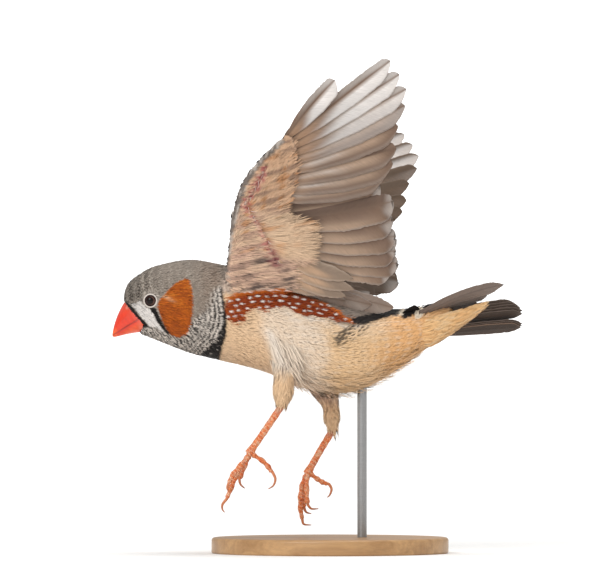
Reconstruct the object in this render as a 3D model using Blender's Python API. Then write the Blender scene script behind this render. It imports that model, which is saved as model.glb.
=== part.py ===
"""A male zebra finch in flight, life size, on a display stand.

The bird faces -X and its left side faces -Y. Z is up, and the origin is the centre of the base's
underside. Lengths are in millimetres, and MM turns them into metres as a mesh is made.
"""

import math

import bmesh
import bpy
from mathutils import Matrix, Vector

MM = 0.001
GAP = 0.3  # left between two pieces that meet

# The body's outline from the side and from above. Each row is a place along the bird: x, the height of
# the top and of the bottom, half the width, and where between bottom and top the section is widest.
BODY = {
    "brow": (-52.4, 63.6, 61.4, 0.9, 0.5),
    "lore": (-51.6, 66.8, 57.6, 3.2, 0.5),
    "forehead": (-50.2, 68.7, 56.2, 4.9, 0.48),
    "eye": (-46.6, 71.7, 54.9, 6.8, 0.47),
    "cheek": (-42.3, 73.2, 53.2, 7.7, 0.46),
    "nape": (-35.4, 74.3, 50.6, 8.5, 0.46),
    "collar": (-28.1, 73.2, 48.8, 9.9, 0.47),
    "breast": (-17.2, 70.6, 46.1, 12.1, 0.49),
    "belly": (-5.1, 66.6, 41.4, 12.7, 0.5),
    "flank": (6.3, 63.2, 40.9, 11.0, 0.52),
    "vent": (16.5, 61.8, 46.0, 7.8, 0.54),
    "tail_root": (25.8, 63.2, 52.7, 5.4, 0.56),
    "under_tail": (31.0, 63.6, 56.0, 4.6, 0.56),
}
BODY_SIDES = 20
BODY_SQUARENESS = 2.15  # 2 is an ellipse
HEAD_END = -34.5
NECK_END = -26.5
TORSO_END = 16.0
RUMP_END = 25.6

# The bill: where its base crosses the brow and the chin, its tip, and the line between its halves.
BILL_BROW = (-52.1, 63.4)
BILL_CHIN = (-47.6, 56.0)
BILL_TIP = (-55.0, 54.9)
BILL_HALF_WIDTH = 3.7
BILL_TIP_RADIUS = 0.3
MOUTH_FRONT = (-54.9, 55.2)
MOUTH_BACK = (-49.1, 58.8)
NOSTRIL = (-50.9, 2.35, 62.0)
NOSTRIL_RADIUS = 0.45

EYE = (-45.57, 5.5, 64.1)
EYE_RADIUS = 1.9
LID_RING_RADIUS = 1.95
LID_THICKNESS = 0.42
LID_OUT = 1.25  # from the eye's middle to the plane of its lids
EYE_TURN = 18.0  # degrees that the eyes look forward of square to the head

# Each wing is laid out flat: u runs back along the bird and v runs up the raised wing, from the shoulder.
WINGS = {
    "left": {
        "side": -1, "shoulder": (-21.5, -8.5, 67.0), "tilt": 20.0, "sweep": 0.0, "lift": 0.0, "reach": 0.0,
    },
    "right": {
        "side": 1, "shoulder": (-21.5, 8.8, 64.2), "tilt": 43.0, "sweep": 3.0, "lift": 7.0, "reach": 2.0,
    },
}
ARM_OUTLINE = [
    (-5.2, 2.6), (-3.9, 12.4), (-3.2, 19.6), (0.6, 20.8), (5.6, 14.2), (10.4, 7.6), (11.2, 1.4), (4.0, -3.4),
    (-3.4, -2.4),
]
FOREARM_OUTLINE = [
    (-1.4, 21.0), (2.8, 21.8), (8.0, 20.2), (16.4, 16.2), (16.0, 11.2), (10.9, 7.9), (4.0, 12.7),
]
HAND_OUTLINE = [
    (-3.4, 18.6), (-2.2, 24.0), (-0.9, 27.8), (1.5, 31.8), (5.6, 36.5), (9.8, 40.3), (12.8, 36.4),
    (12.8, 29.5), (9.0, 20.9), (2.6, 19.0),
]
# The straight seams between the plates: from the wrist to the elbow, and across the wrist.
ELBOW_SEAM = ((-0.2, 19.6), (9.4, 7.4))
WRIST_SEAM = ((-6.0, 19.4), (-0.2, 19.6))
PALM_SEAM = ((-0.2, 19.6), (9.2, 22.0))
ARM_THICKNESS = 3.2
FOREARM_THICKNESS = 2.6
HAND_THICKNESS = 2.4
PLATE_RIM = 0.8  # how much of a plate's half thickness is rounded

FEATHER_THICKNESS = 0.5
ROOT_ROLL = 20.0  # degrees that a vane is turned about its shaft, so that its neighbour slips under it
TIP_ROLL = 12.0
FLIGHT_SHAPE = [(0.0, 0.22), (0.14, 0.32), (0.33, 0.74), (0.6, 1.0), (0.88, 0.92), (1.0, 0.34)]
COVERT_SHAPE = [(0.0, 0.5), (0.66, 1.0), (1.0, 0.45)]
PRIMARY_TIPS = [
    (23.5, 55.8), (37.7, 60.9), (40.0, 57.3), (41.9, 53.6), (42.3, 49.9), (41.5, 45.4), (40.1, 39.6),
    (39.1, 34.4), (36.8, 30.2),
]
PRIMARY_ROOTS = ((9.2, 38.4), (1.2, 22.8))
PRIMARY_WIDTHS = (5.0, 7.6)
SECONDARY_TIPS = [(38.5, 23.0), (38.7, 17.6), (39.4, 12.6), (38.7, 6.8), (37.3, 2.0), (30.0, -0.2)]
SECONDARY_ROOTS = ((2.6, 17.6), (10.2, 9.2))
SECONDARY_WIDTHS = (7.6, 6.2)
TERTIAL_TIPS = [(37.6, -5.4), (32.0, -4.6), (25.4, -3.6)]
TERTIAL_ROOTS = ((7.6, 3.4), (4.2, 0.2))
TERTIAL_WIDTHS = (5.4, 5.4)
TERTIAL_DEPTH = 1.5  # the tertials lie this far to the back's side of the secondaries
# Tiers of coverts on each side: the share of the flight feather they reach over, their width, their distance
# from the wing's middle, and where along the feather they are rooted.
COVERT_TIERS = [(0.42, 0.7, 1.15, 0.04), (0.25, 0.52, 1.75, 0.07)]
COVERT_LEADS = {"arm": 0.35, "forearm": 0.28, "hand": 0.5}
ALULA_TIPS = [(3.4, 34.2), (1.0, 30.4)]
ALULA_ROOTS = [(0.0, 24.2), (-0.4, 23.4)]
ALULA_DEPTH = 1.3
ALULA_WIDTH = 2.6

# The tail is a fan of rectrices, turned about its own length so that its left edge is the higher.
TAIL_ROOT = (9.6, 0.0, 55.7)  # where the feathers' shafts would meet, inside the body
TAIL_RISE = 11.0
TAIL_ROLL = 36.0
TAIL_START = 16.8  # how far along the shafts the bare vanes begin
# Each rectrix: its angle to the left where it leaves the block and at its tip, its length from where the
# shafts meet, and its level in the stack.
RECTRICES = [
    (13.6, 20.0, 37.2, -0.75), (12.0, 17.6, 35.6, 0.05), (0.8, 1.2, 37.6, 1.15), (-1.6, -1.0, 38.7, 0.35),
    (-4.8, -3.4, 39.1, 1.15), (-8.2, -5.8, 39.6, 0.35), (-11.6, -8.2, 39.8, -0.45),
    (-15.0, -10.6, 39.6, -1.25),
]
TAIL_WIDTH = 4.3
TAIL_DROOP = 1.1
TAIL_SHAPE = [(0.0, 0.45), (0.3, 0.8), (0.6, 1.0), (0.86, 0.94), (1.0, 0.4)]
TAIL_BLOCK = (3.4, 4.5, 3.0)  # length, half width, thickness
# Each feather over the tail's root: its angle to the left, how far along it ends, and its level.
UPPER_COVERTS = [
    (15.0, 23.5, 2.4), (-15.0, 24.5, 2.4), (8.0, 26.5, 3.1), (-8.0, 27.5, 3.1), (0.0, 26.0, 3.8),
]
UPPER_COVERT_WIDTH = 5.4
UNDER_COVERT_SPAN = (14.2, 31.2)
UNDER_COVERT_HALF_WIDTH = 4.6
UNDER_COVERT_DEPTH = 4.7
UNDER_COVERT_TOP = -1.8
UNDER_COVERT_SHIFT = 5.6  # how far its tip lies to the left
UNDER_COVERT_CORE = 0.5  # share of their length that the solid core takes
# Tiers of the feathers under the tail: where they are rooted and end, as shares of the span, and their
# angles.
UNDER_COVERT_TIERS = [
    (0.02, 0.52, (-58, -29, 0, 29, 58)), (0.16, 0.74, (-45, -15, 15, 45)), (0.28, 0.9, (-30, 0, 30)),
    (0.38, 1.0, (-14, 14)),
]
UNDER_COVERT_WIDTH = 4.4

# Each leg: the feathered thigh's path with its radii, the bare shank, and the toes with their claws.
LEGS = {
    "left": {
        "thigh": [
            ((-10.6, -6.6, 54.0), 4.6), ((-11.2, -8.2, 47.6), 3.6), ((-11.6, -8.6, 43.8), 2.6),
            ((-11.9, -8.8, 40.4), 2.7), ((-12.2, -8.9, 37.6), 1.5),
        ],
        "shank": [(-12.4, -8.9, 37.0), (-16.4, -9.0, 31.2), (-20.5, -9.1, 25.3)],
        "toes": {
            "hallux": (
                [
                    (-19.2, -9.1, 24.9), (-17.2, -8.9, 23.6), (-15.6, -8.8, 22.0), (-14.9, -8.8, 20.9),
                ],
                [
                    (-14.4, -8.8, 20.4), (-13.8, -8.8, 18.9), (-14.3, -8.8, 17.3), (-15.6, -8.8, 16.5),
                ],
            ),
            "inner": (
                [
                    (-20.6, -7.6, 24.4), (-21.5, -6.9, 22.3), (-22.6, -6.6, 19.6),
                ],
                [
                    (-22.9, -6.5, 18.9), (-22.6, -6.4, 17.5), (-21.6, -6.4, 16.6),
                ],
            ),
            "middle": (
                [
                    (-21.0, -9.2, 24.3), (-22.3, -9.3, 22.3), (-23.7, -9.4, 19.6), (-24.9, -9.4, 16.8),
                    (-25.8, -9.4, 14.7),
                ],
                [
                    (-26.1, -9.4, 13.9), (-27.1, -9.4, 12.6), (-27.2, -9.4, 11.4), (-26.7, -9.4, 10.6),
                ],
            ),
            "outer": (
                [
                    (-21.0, -10.9, 24.3), (-22.6, -11.6, 22.4), (-24.4, -12.0, 20.2), (-25.2, -12.1, 18.5),
                ],
                [
                    (-25.6, -12.1, 17.8), (-25.9, -12.1, 16.6), (-25.3, -12.1, 15.6),
                ],
            ),
        },
    },
    "right": {
        "thigh": [
            ((-3.4, 5.0, 48.6), 5.2), ((-1.8, 6.4, 42.8), 4.0), ((0.1, 7.4, 37.6), 2.2),
            ((0.5, 7.7, 33.8), 2.2), ((0.7, 7.8, 31.8), 1.5),
        ],
        "shank": [(0.6, 7.8, 31.1), (-2.4, 8.0, 25.9), (-5.8, 8.2, 19.9)],
        "toes": {
            "hallux": (
                [
                    (-4.7, 8.2, 19.7), (-3.2, 8.3, 18.6), (-1.9, 8.4, 17.8), (-0.9, 8.4, 17.4),
                ],
                [
                    (-0.2, 8.4, 17.2), (0.4, 8.4, 16.0), (0.0, 8.4, 14.6), (-0.6, 8.4, 14.0),
                ],
            ),
            "inner": (
                [
                    (-5.8, 6.7, 19.0), (-5.9, 6.2, 16.0), (-5.8, 6.0, 12.9),
                ],
                [
                    (-5.6, 6.0, 12.1), (-4.7, 6.0, 11.1), (-3.0, 6.0, 11.1),
                ],
            ),
            "middle": (
                [
                    (-6.3, 8.3, 19.1), (-7.1, 8.4, 16.9), (-7.5, 8.5, 14.0), (-7.5, 8.6, 11.2),
                    (-7.1, 8.6, 9.0),
                ],
                [
                    (-7.0, 8.6, 8.2), (-6.6, 8.6, 7.1), (-4.8, 8.6, 6.9),
                ],
            ),
            "outer": (
                [
                    (-6.2, 10.0, 19.1), (-6.8, 10.9, 16.8), (-6.9, 11.2, 14.0), (-6.6, 11.3, 11.9),
                ],
                [
                    (-6.5, 11.3, 11.1), (-6.0, 11.3, 10.1), (-4.8, 11.3, 9.7),
                ],
            ),
        },
    },
}
THIGH_SIDES = 14
SHANK_RADIUS = 0.86
SHANK_END_RADIUS = 1.1
TOE_RADIUS = 0.62
TOE_PAD_RADIUS = 0.78
CLAW_RADIUS = 0.4
CLAW_TIP_RADIUS = 0.1

# The stand: a round base under the feet and one rod up into the belly behind the legs.
BASE_RADIUS = 30.0
BASE_HEIGHT = 4.0
BASE_EDGE = 0.8
BASE_SIDES = 36
ROD_X = 8.1
ROD_RADIUS = 1.2
ROD_SIDES = 16
ROD_TOP = 47.5

# Colour, roughness and metallic value of each finish.
FINISHES = {
    "grey_plumage": ((0.33, 0.31, 0.29), 0.85, 0.0),
    "buff_plumage": ((0.80, 0.62, 0.44), 0.85, 0.0),
    "wing_plumage": ((0.42, 0.34, 0.29), 0.8, 0.0),
    "tail_plumage": ((0.11, 0.09, 0.08), 0.75, 0.0),
    "bill_red": ((0.86, 0.12, 0.03), 0.35, 0.0),
    "leg_orange": ((0.86, 0.28, 0.10), 0.55, 0.0),
    "claw_horn": ((0.62, 0.30, 0.15), 0.4, 0.0),
    "eye": ((0.05, 0.015, 0.01), 0.08, 0.0),
    "stand_wood": ((0.72, 0.60, 0.46), 0.5, 0.0),
    "stand_steel": ((0.60, 0.60, 0.60), 0.3, 1.0),
}


def finish(name):
    """The material of that name, made the first time that it is asked for."""
    found = bpy.data.materials.get(name)
    if found:
        return found
    colour, roughness, metallic = FINISHES[name]
    made = bpy.data.materials.new(name)
    made.use_nodes = True
    shader = made.node_tree.nodes["Principled BSDF"]
    shader.inputs["Base Color"].default_value = (*colour, 1.0)
    shader.inputs["Roughness"].default_value = roughness
    shader.inputs["Metallic"].default_value = metallic
    return made


def put(name, mesh_or_curve, collection, finish_name=None):
    """A new object for this mesh or curve, in the given collection."""
    made = bpy.data.objects.new(name, mesh_or_curve)
    collection.objects.link(made)
    if finish_name:
        made.data.materials.clear()
        made.data.materials.append(finish(finish_name))
    return made


def mesh_from(name, bm):
    """A mesh in metres from a bmesh in millimetres, with its faces pointing out."""
    bmesh.ops.recalc_face_normals(bm, faces=bm.faces)
    bmesh.ops.scale(bm, vec=(MM, MM, MM), verts=bm.verts)
    mesh = bpy.data.meshes.new(name)
    bm.to_mesh(mesh)
    bm.free()
    return mesh


def loft(name, rings):
    """A closed mesh through rings of points of equal count, with a fan over each end."""
    bm = bmesh.new()
    rows = [[bm.verts.new(point) for point in ring] for ring in rings]
    count = len(rows[0])
    for row, after in zip(rows, rows[1:]):
        for i in range(count):
            j = (i + 1) % count
            bm.faces.new((row[i], row[j], after[j]))
            bm.faces.new((row[i], after[j], after[i]))
    for row in (rows[0], rows[-1]):
        middle = bm.verts.new(sum((v.co for v in row), Vector()) / count)
        for i in range(count):
            bm.faces.new((row[i], row[(i + 1) % count], middle))
    return mesh_from(name, bm)


def spline_value(values, t):
    """The value at t of a Catmull-Rom curve through values, which stand at t = 0, 1, 2 and so on."""
    last = len(values) - 1
    i = min(int(t), last - 1)
    f = t - i
    a, b, c, d = (values[min(max(k, 0), last)] for k in (i - 1, i, i + 1, i + 2))
    return b + 0.5 * f * (c - a + f * (2 * a - 5 * b + 4 * c - d + f * (3 * (b - c) + d - a)))


BODY_COLUMNS = list(zip(*BODY.values()))


def body_at(t):
    """(x, top, bottom, half width, widest) of the body at t, counted in stations from the brow."""
    return [spline_value(column, t) for column in BODY_COLUMNS]


def body_place(x):
    """The t at which the body's section stands at x."""
    low, high = 0.0, len(BODY) - 1.0
    for _ in range(40):
        middle = (low + high) / 2
        if body_at(middle)[0] < x:
            low = middle
        else:
            high = middle
    return (low + high) / 2


def body_ring(t, grow=0.0):
    """The section of the body at t, as points round it from the top, grown by a few tenths if wanted."""
    x, top, bottom, half_width, widest = body_at(t)
    top, bottom, half_width = top + grow, bottom - grow, half_width + grow
    middle = bottom + (top - bottom) * widest
    power = 2 / BODY_SQUARENESS
    ring = []
    for i in range(BODY_SIDES):
        angle = 2 * math.pi * i / BODY_SIDES
        across, up = math.sin(angle), math.cos(angle)
        reach = top - middle if up > 0 else middle - bottom
        side = -half_width * math.copysign(abs(across) ** power, across)
        height = middle + reach * math.copysign(abs(up) ** power, up)
        ring.append((x, side, height))
    return ring


def body_length(name, start, end, steps, grow=0.0):
    """The body between two values of x as one closed mesh. A start of None is the brow."""
    first = 0.0 if start is None else body_place(start)
    last = body_place(end)
    return loft(name, [body_ring(first + (last - first) * i / steps, grow) for i in range(steps + 1)])


def solid_from(name, shape, collection):
    """Turns a curve object into a closed mesh object of the same name."""
    graph = bpy.context.evaluated_depsgraph_get()
    mesh = bpy.data.meshes.new_from_object(shape.evaluated_get(graph))
    matrix = shape.matrix_world.copy()
    bpy.data.objects.remove(shape)
    bm = bmesh.new()
    bm.from_mesh(mesh)
    bmesh.ops.remove_doubles(bm, verts=bm.verts, dist=0.001 * MM)
    bmesh.ops.triangulate(bm, faces=bm.faces)
    bmesh.ops.recalc_face_normals(bm, faces=bm.faces)
    bm.to_mesh(mesh)
    bm.free()
    made = put(name, mesh, collection)
    made.matrix_world = matrix
    return made


def apply_boolean(target, operation, other, solver="MANIFOLD"):
    """Joins or cuts target with an object or a collection, applies it, and removes what was used."""
    modifier = target.modifiers.new("join" if operation == "UNION" else "cut", "BOOLEAN")
    modifier.operation = operation
    modifier.solver = solver
    if isinstance(other, bpy.types.Collection):
        modifier.operand_type = "COLLECTION"
        modifier.collection = other
        used = list(other.objects)
    else:
        modifier.object = other
        used = [other]
    bpy.context.view_layer.update()
    graph = bpy.context.evaluated_depsgraph_get()
    result = bpy.data.meshes.new_from_object(target.evaluated_get(graph))
    target.modifiers.remove(modifier)
    old = target.data
    result.name = old.name
    target.data = result
    bpy.data.meshes.remove(old)
    for piece in used:
        bpy.data.objects.remove(piece)


def keep_largest(target):
    """Drops every closed surface of the mesh but the one that spans the most."""
    bm = bmesh.new()
    bm.from_mesh(target.data)
    left, groups = set(bm.verts), []
    while left:
        start = left.pop()
        group, queue = {start}, [start]
        while queue:
            for edge in queue.pop().link_edges:
                for vert in edge.verts:
                    if vert in left:
                        left.discard(vert)
                        group.add(vert)
                        queue.append(vert)
        groups.append(group)
    groups.sort(key=lambda g: (max(v.co.x for v in g) - min(v.co.x for v in g)) * len(g))
    for group in groups[:-1]:
        bmesh.ops.delete(bm, geom=list(group), context="VERTS")
    bmesh.ops.triangulate(bm, faces=bm.faces)
    bm.to_mesh(target.data)
    bm.free()


def box_cutter(name, centre, size, rotation, collection):
    """A box that cuts away everything on its side, made from a cube."""
    bm = bmesh.new()
    bmesh.ops.create_cube(bm, size=1.0)
    matrix = Matrix.Translation(Vector(centre)) @ rotation @ Matrix.Diagonal((*size, 1.0))
    bmesh.ops.transform(bm, matrix=matrix, verts=bm.verts)
    return put(name, mesh_from(name, bm), collection)


def ball(name, centre, radius, collection, across=14, up=8):
    """A sphere, its poles along Y."""
    bm = bmesh.new()
    bmesh.ops.create_uvsphere(bm, u_segments=across, v_segments=up, radius=radius)
    matrix = Matrix.Translation(Vector(centre)) @ Matrix.Rotation(math.radians(90), 4, "X")
    bmesh.ops.transform(bm, matrix=matrix, verts=bm.verts)
    return put(name, mesh_from(name, bm), collection)


def tube(name, points, radii, collection, resolution=1):
    """A round tube through points, with a radius at each, from a curve with a bevel and filled caps."""
    curve = bpy.data.curves.new(name, "CURVE")
    curve.dimensions = "3D"
    curve.bevel_depth = MM
    curve.bevel_resolution = resolution
    curve.use_fill_caps = True
    spline = curve.splines.new("POLY")
    spline.points.add(len(points) - 1)
    for point, place, radius in zip(spline.points, points, radii):
        point.co = (*(c * MM for c in place), 1.0)
        point.radius = radius
    return put(name, curve, collection)


def smooth_path(points, steps):
    """Points read at even steps from a smooth curve through the given ones."""
    columns = list(zip(*points))
    last = len(points) - 1
    return [tuple(spline_value(column, last * i / steps) for column in columns) for i in range(steps + 1)]


def new_collection(name, hidden=False):
    made = bpy.data.collections.new(name)
    bpy.context.scene.collection.children.link(made)
    made.hide_render = hidden
    return made


def cutter_normal(a, b):
    """The direction in the XZ plane square to the line from a to b, towards the bill's tip."""
    along = Vector((b[0] - a[0], 0, b[1] - a[1])).normalized()
    return Vector((along.z, 0, -along.x))


def half_space(name, point, outward, collection):
    """A large box whose face passes through point and that lies on the outward side of it."""
    reach = 30.0
    rotation = outward.to_track_quat("Z", "Y").to_matrix().to_4x4()
    centre = Vector(point) + outward * reach / 2
    return box_cutter(name, centre, (reach, reach, reach), rotation, collection)


def make_head(parts, tools):
    head = put("head", body_length("head", None, HEAD_END - GAP / 2, 12), parts, "grey_plumage")
    towards_tip = cutter_normal(BILL_BROW, BILL_CHIN)
    base = Vector((BILL_BROW[0], 0, BILL_BROW[1]))
    seat = half_space("bill_seat", base - towards_tip * GAP / 2, towards_tip, tools)
    apply_boolean(head, "DIFFERENCE", seat)
    for side in (-1, 1):
        centre = (EYE[0], side * EYE[1], EYE[2])
        outward = Vector((-math.sin(math.radians(EYE_TURN)), side * math.cos(math.radians(EYE_TURN)), 0.0))
        bpy.ops.mesh.primitive_torus_add(
            major_radius=LID_RING_RADIUS * MM,
            minor_radius=LID_THICKNESS * MM,
            major_segments=16,
            minor_segments=5,
            location=(Vector(centre) + outward * LID_OUT) * MM,
            rotation=outward.to_track_quat("Z", "Y").to_euler(),
        )
        lid = bpy.context.object
        for owner in lid.users_collection:
            owner.objects.unlink(lid)
        tools.objects.link(lid)
        apply_boolean(head, "UNION", lid)
        apply_boolean(head, "DIFFERENCE", ball("socket", centre, EYE_RADIUS + GAP, tools))
    keep_largest(head)
    for side, name in ((-1, "left"), (1, "right")):
        eye = ball(f"eye_{name}", (EYE[0], side * EYE[1], EYE[2]), EYE_RADIUS, parts)
        eye.data.materials.append(finish("eye"))


def bill_rings():
    """Sections of the bill from its base to its tip, each in a plane like the base's."""
    brow, chin = Vector((BILL_BROW[0], 0, BILL_BROW[1])), Vector((BILL_CHIN[0], 0, BILL_CHIN[1]))
    towards_tip = cutter_normal(BILL_BROW, BILL_CHIN)
    upward = (brow - chin).normalized()
    base = (brow + chin) / 2 + towards_tip * GAP / 2
    half_height = (brow - chin).length / 2
    tip = Vector((BILL_TIP[0], 0, BILL_TIP[1]))
    steps, sides = 8, 16
    rings = []
    for i in range(steps + 1):
        f = i / steps
        swell = (1 - f) ** 0.82
        centre = base.lerp(tip, f) + upward * 0.35 * math.sin(math.pi * f)
        high = BILL_TIP_RADIUS + (half_height - BILL_TIP_RADIUS) * swell
        wide = BILL_TIP_RADIUS + (BILL_HALF_WIDTH - BILL_TIP_RADIUS) * swell
        ring = []
        for k in range(sides):
            angle = 2 * math.pi * k / sides
            ring.append(centre + upward * high * math.cos(angle) + Vector((0, wide * math.sin(angle), 0)))
        rings.append(ring)
    return rings


def make_bill(parts, tools):
    """The bill is modelled whole and parted along the line of the mouth."""
    down = cutter_normal(MOUTH_FRONT, MOUTH_BACK)
    if down.z > 0:
        down = -down
    mouth = Vector((MOUTH_FRONT[0], 0, MOUTH_FRONT[1]))
    for name, away in (("bill_upper", down), ("bill_lower", -down)):
        half = put(name, loft(name, bill_rings()), parts, "bill_red")
        apply_boolean(half, "DIFFERENCE", half_space("mouth", mouth - away * GAP / 2, away, tools))
        if name == "bill_upper":
            for side in (-1, 1):
                place = (NOSTRIL[0], side * NOSTRIL[1], NOSTRIL[2])
                apply_boolean(half, "DIFFERENCE", ball("nostril", place, NOSTRIL_RADIUS, tools, 8, 6))
        keep_largest(half)


def make_trunk(parts, tools):
    put("neck", body_length("neck", HEAD_END + GAP / 2, NECK_END - GAP / 2, 4), parts, "grey_plumage")
    trunk = body_length("torso", NECK_END + GAP / 2, TORSO_END - GAP / 2, 12)
    torso = put("torso", trunk, parts, "buff_plumage")
    bore_bottom, bore_top = 30.0, ROD_TOP + GAP
    bm = bmesh.new()
    bore = ROD_RADIUS + GAP
    depth = bore_top - bore_bottom
    bmesh.ops.create_cone(bm, cap_ends=True, segments=ROD_SIDES, radius1=bore, radius2=bore, depth=depth)
    bmesh.ops.translate(bm, vec=(ROD_X, 0, (bore_top + bore_bottom) / 2), verts=bm.verts)
    apply_boolean(torso, "DIFFERENCE", put("rod_socket", mesh_from("rod_socket", bm), tools))
    keep_largest(torso)


def vane(
    name, root, tip, face, width, shape, rolls, collection, lead_share=0.4, sag=0.0, cup=0.0,
    thickness=FEATHER_THICKNESS,
):
    """One feather as a thin closed vane from root to tip, about its shaft.

    face is the direction that its underside looks. rolls are the degrees that it is turned about its
    shaft at the root and at the tip. lead_share is the share of its width that lies on the leading
    side, sag bows the shaft towards the trailing side, and cup bends it towards its underside.
    """
    root, tip, face = Vector(root), Vector(tip), Vector(face).normalized()
    along = (tip - root).normalized()
    trailing = along.cross(face).normalized()
    if trailing.z > 0:
        trailing = -trailing
    rings = []
    for t, share in shape:
        bow = 4 * t * (1 - t)
        centre = root.lerp(tip, t) + trailing * sag * bow + face * cup * t * t
        angle = math.radians(rolls[0] + (rolls[1] - rolls[0]) * t)
        across = trailing * math.cos(angle) + face * math.sin(angle)
        through = face * math.cos(angle) - trailing * math.sin(angle)
        lead, trail = width * share * lead_share, width * share * (1 - lead_share)
        half = thickness / 2 * (1.0 if t < 0.95 else 0.6)
        rings.append(
            [
                centre - across * lead - through * half,
                centre + across * trail - through * half,
                centre + across * trail + through * half,
                centre - across * lead + through * half,
            ]
        )
    bm = bmesh.new()
    rows = [[bm.verts.new(point) for point in ring] for ring in rings]
    for row, after in zip(rows, rows[1:]):
        # Both faces are split along the same diagonal, so that they stay parallel where the vane curves.
        for a, b, flip in ((0, 1, False), (1, 2, False), (2, 3, True), (3, 0, False)):
            if flip:
                bm.faces.new((row[a], row[b], after[a]))
                bm.faces.new((row[b], after[b], after[a]))
            else:
                bm.faces.new((row[a], row[b], after[b]))
                bm.faces.new((row[a], after[b], after[a]))
    for row in (rows[0], rows[-1]):
        bm.faces.new((row[0], row[1], row[2]))
        bm.faces.new((row[0], row[2], row[3]))
    return put(name, mesh_from(name, bm), collection)


def wing_frame(wing):
    """The matrix from a wing's flat layout (u, v, towards its underside) to the bird, in millimetres."""
    tilt, sweep = math.radians(wing["tilt"]), math.radians(wing["sweep"])
    side = wing["side"]
    back = Vector((1, 0, 0))
    up = Vector((0, side * math.sin(tilt), math.cos(tilt)))
    under = Vector((0, side * math.cos(tilt), -math.sin(tilt)))
    u = back * math.cos(sweep) - up * math.sin(sweep)
    v = up * math.cos(sweep) + back * math.sin(sweep)
    matrix = Matrix((u, v, under)).transposed().to_4x4()
    return Matrix.Translation(Vector(wing["shoulder"])) @ matrix


def inset(outline, distance):
    """The outline's points moved inwards by a distance."""
    centre = Vector((sum(p[0] for p in outline), sum(p[1] for p in outline))) / len(outline)
    moved = []
    for i, point in enumerate(outline):
        before, after = Vector(outline[i - 1]), Vector(outline[(i + 1) % len(outline)])
        here = Vector(point)
        edge = (after - before).normalized()
        normal = Vector((-edge.y, edge.x))
        if normal.dot(centre - here) < 0:
            normal = -normal
        moved.append(here + normal * distance)
    return moved


def plate(name, outline, thickness, frame, collection):
    """A flat fleshy plate with a rounded rim, from a filled outline."""
    rim = thickness / 2 * PLATE_RIM
    curve = bpy.data.curves.new(name, "CURVE")
    curve.dimensions = "2D"
    curve.fill_mode = "BOTH"
    curve.extrude = (thickness / 2 - rim) * MM
    curve.bevel_depth = rim * MM
    curve.bevel_resolution = 1
    curve.resolution_u = 3
    spline = curve.splines.new("BEZIER")
    points = inset(outline, rim + GAP / 2)
    spline.bezier_points.add(len(points) - 1)
    for knot, place in zip(spline.bezier_points, points):
        knot.co = (place[0] * MM, place[1] * MM, 0)
        knot.handle_left_type = knot.handle_right_type = "AUTO"
    spline.use_cyclic_u = True
    shape = put(name, curve, collection)
    matrix = frame.copy()
    matrix.translation = frame.translation * MM
    shape.matrix_world = matrix
    bpy.context.view_layer.update()
    made = solid_from(name, shape, collection)
    made.data.transform(made.matrix_world)
    made.matrix_world = Matrix.Identity(4)
    if matrix.determinant() < 0:
        made.data.flip_normals()
    return made


def between(pair, f):
    return tuple(a + (b - a) * f for a, b in zip(*pair))


def lifted(tip, lift):
    """A tip raised where the wing lies close over the back, by up to lift."""
    f = min(max((12.0 - tip[1]) / 18.0, 0.0), 1.0)
    return (tip[0], tip[1] + lift * f * f * (3 - 2 * f))


def add_feathers(label, frame, roots, tips, widths, depth, sags, wing, collection):
    """A row of flight feathers, with tiers of coverts over and under the base of each."""
    under = frame.to_3x3() @ Vector((0, 0, 1))

    def at(place, n):
        return frame @ Vector((place[0], place[1], n))

    for i, tip in enumerate(tips):
        f = i / max(len(tips) - 1, 1)
        root, end = between(roots, f), lifted(tip, wing["lift"])
        if label == "hand":
            end = (end[0] + wing["reach"], end[1])
        sag = sags[0] + (sags[1] - sags[0]) * f
        width = widths[0] + (widths[1] - widths[0]) * f
        rolls = (ROOT_ROLL, TIP_ROLL)
        start, stop = at(root, -depth), at(end, -depth)
        vane(f"{label}_{i}", start, stop, under, width, FLIGHT_SHAPE, rolls, collection, 0.36, sag, 0.8)
        rolls = (ROOT_ROLL * 0.6, TIP_ROLL)
        for tier, (reach, share, offset, start) in enumerate(COVERT_TIERS):
            foot, point = between((root, end), start), between((root, end), reach)
            for side in (-1, 1):
                name = f"{label}_covert_{i}_{tier}_{side}"
                low, high = side * offset * 0.7 - depth, side * offset - depth
                start, stop = at(foot, low), at(point, high)
                lead, bow = COVERT_LEADS[label], sag * 0.4
                vane(name, start, stop, under, width * share, COVERT_SHAPE, rolls, collection, lead, bow)


def trim(node, frame, seam, keep, tools):
    """Cuts a plate along a seam, on the side away from keep, with half the gap to spare."""
    start, end = (Vector((*point, 0)) for point in seam)
    outward = (end - start).cross(Vector((0, 0, 1))).normalized()
    if outward.dot(Vector((*keep, 0)) - start) > 0:
        outward = -outward
    turned = frame.to_3x3() @ outward
    apply_boolean(node, "DIFFERENCE", half_space("seam", frame @ start - turned * GAP / 2, turned, tools))


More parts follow.
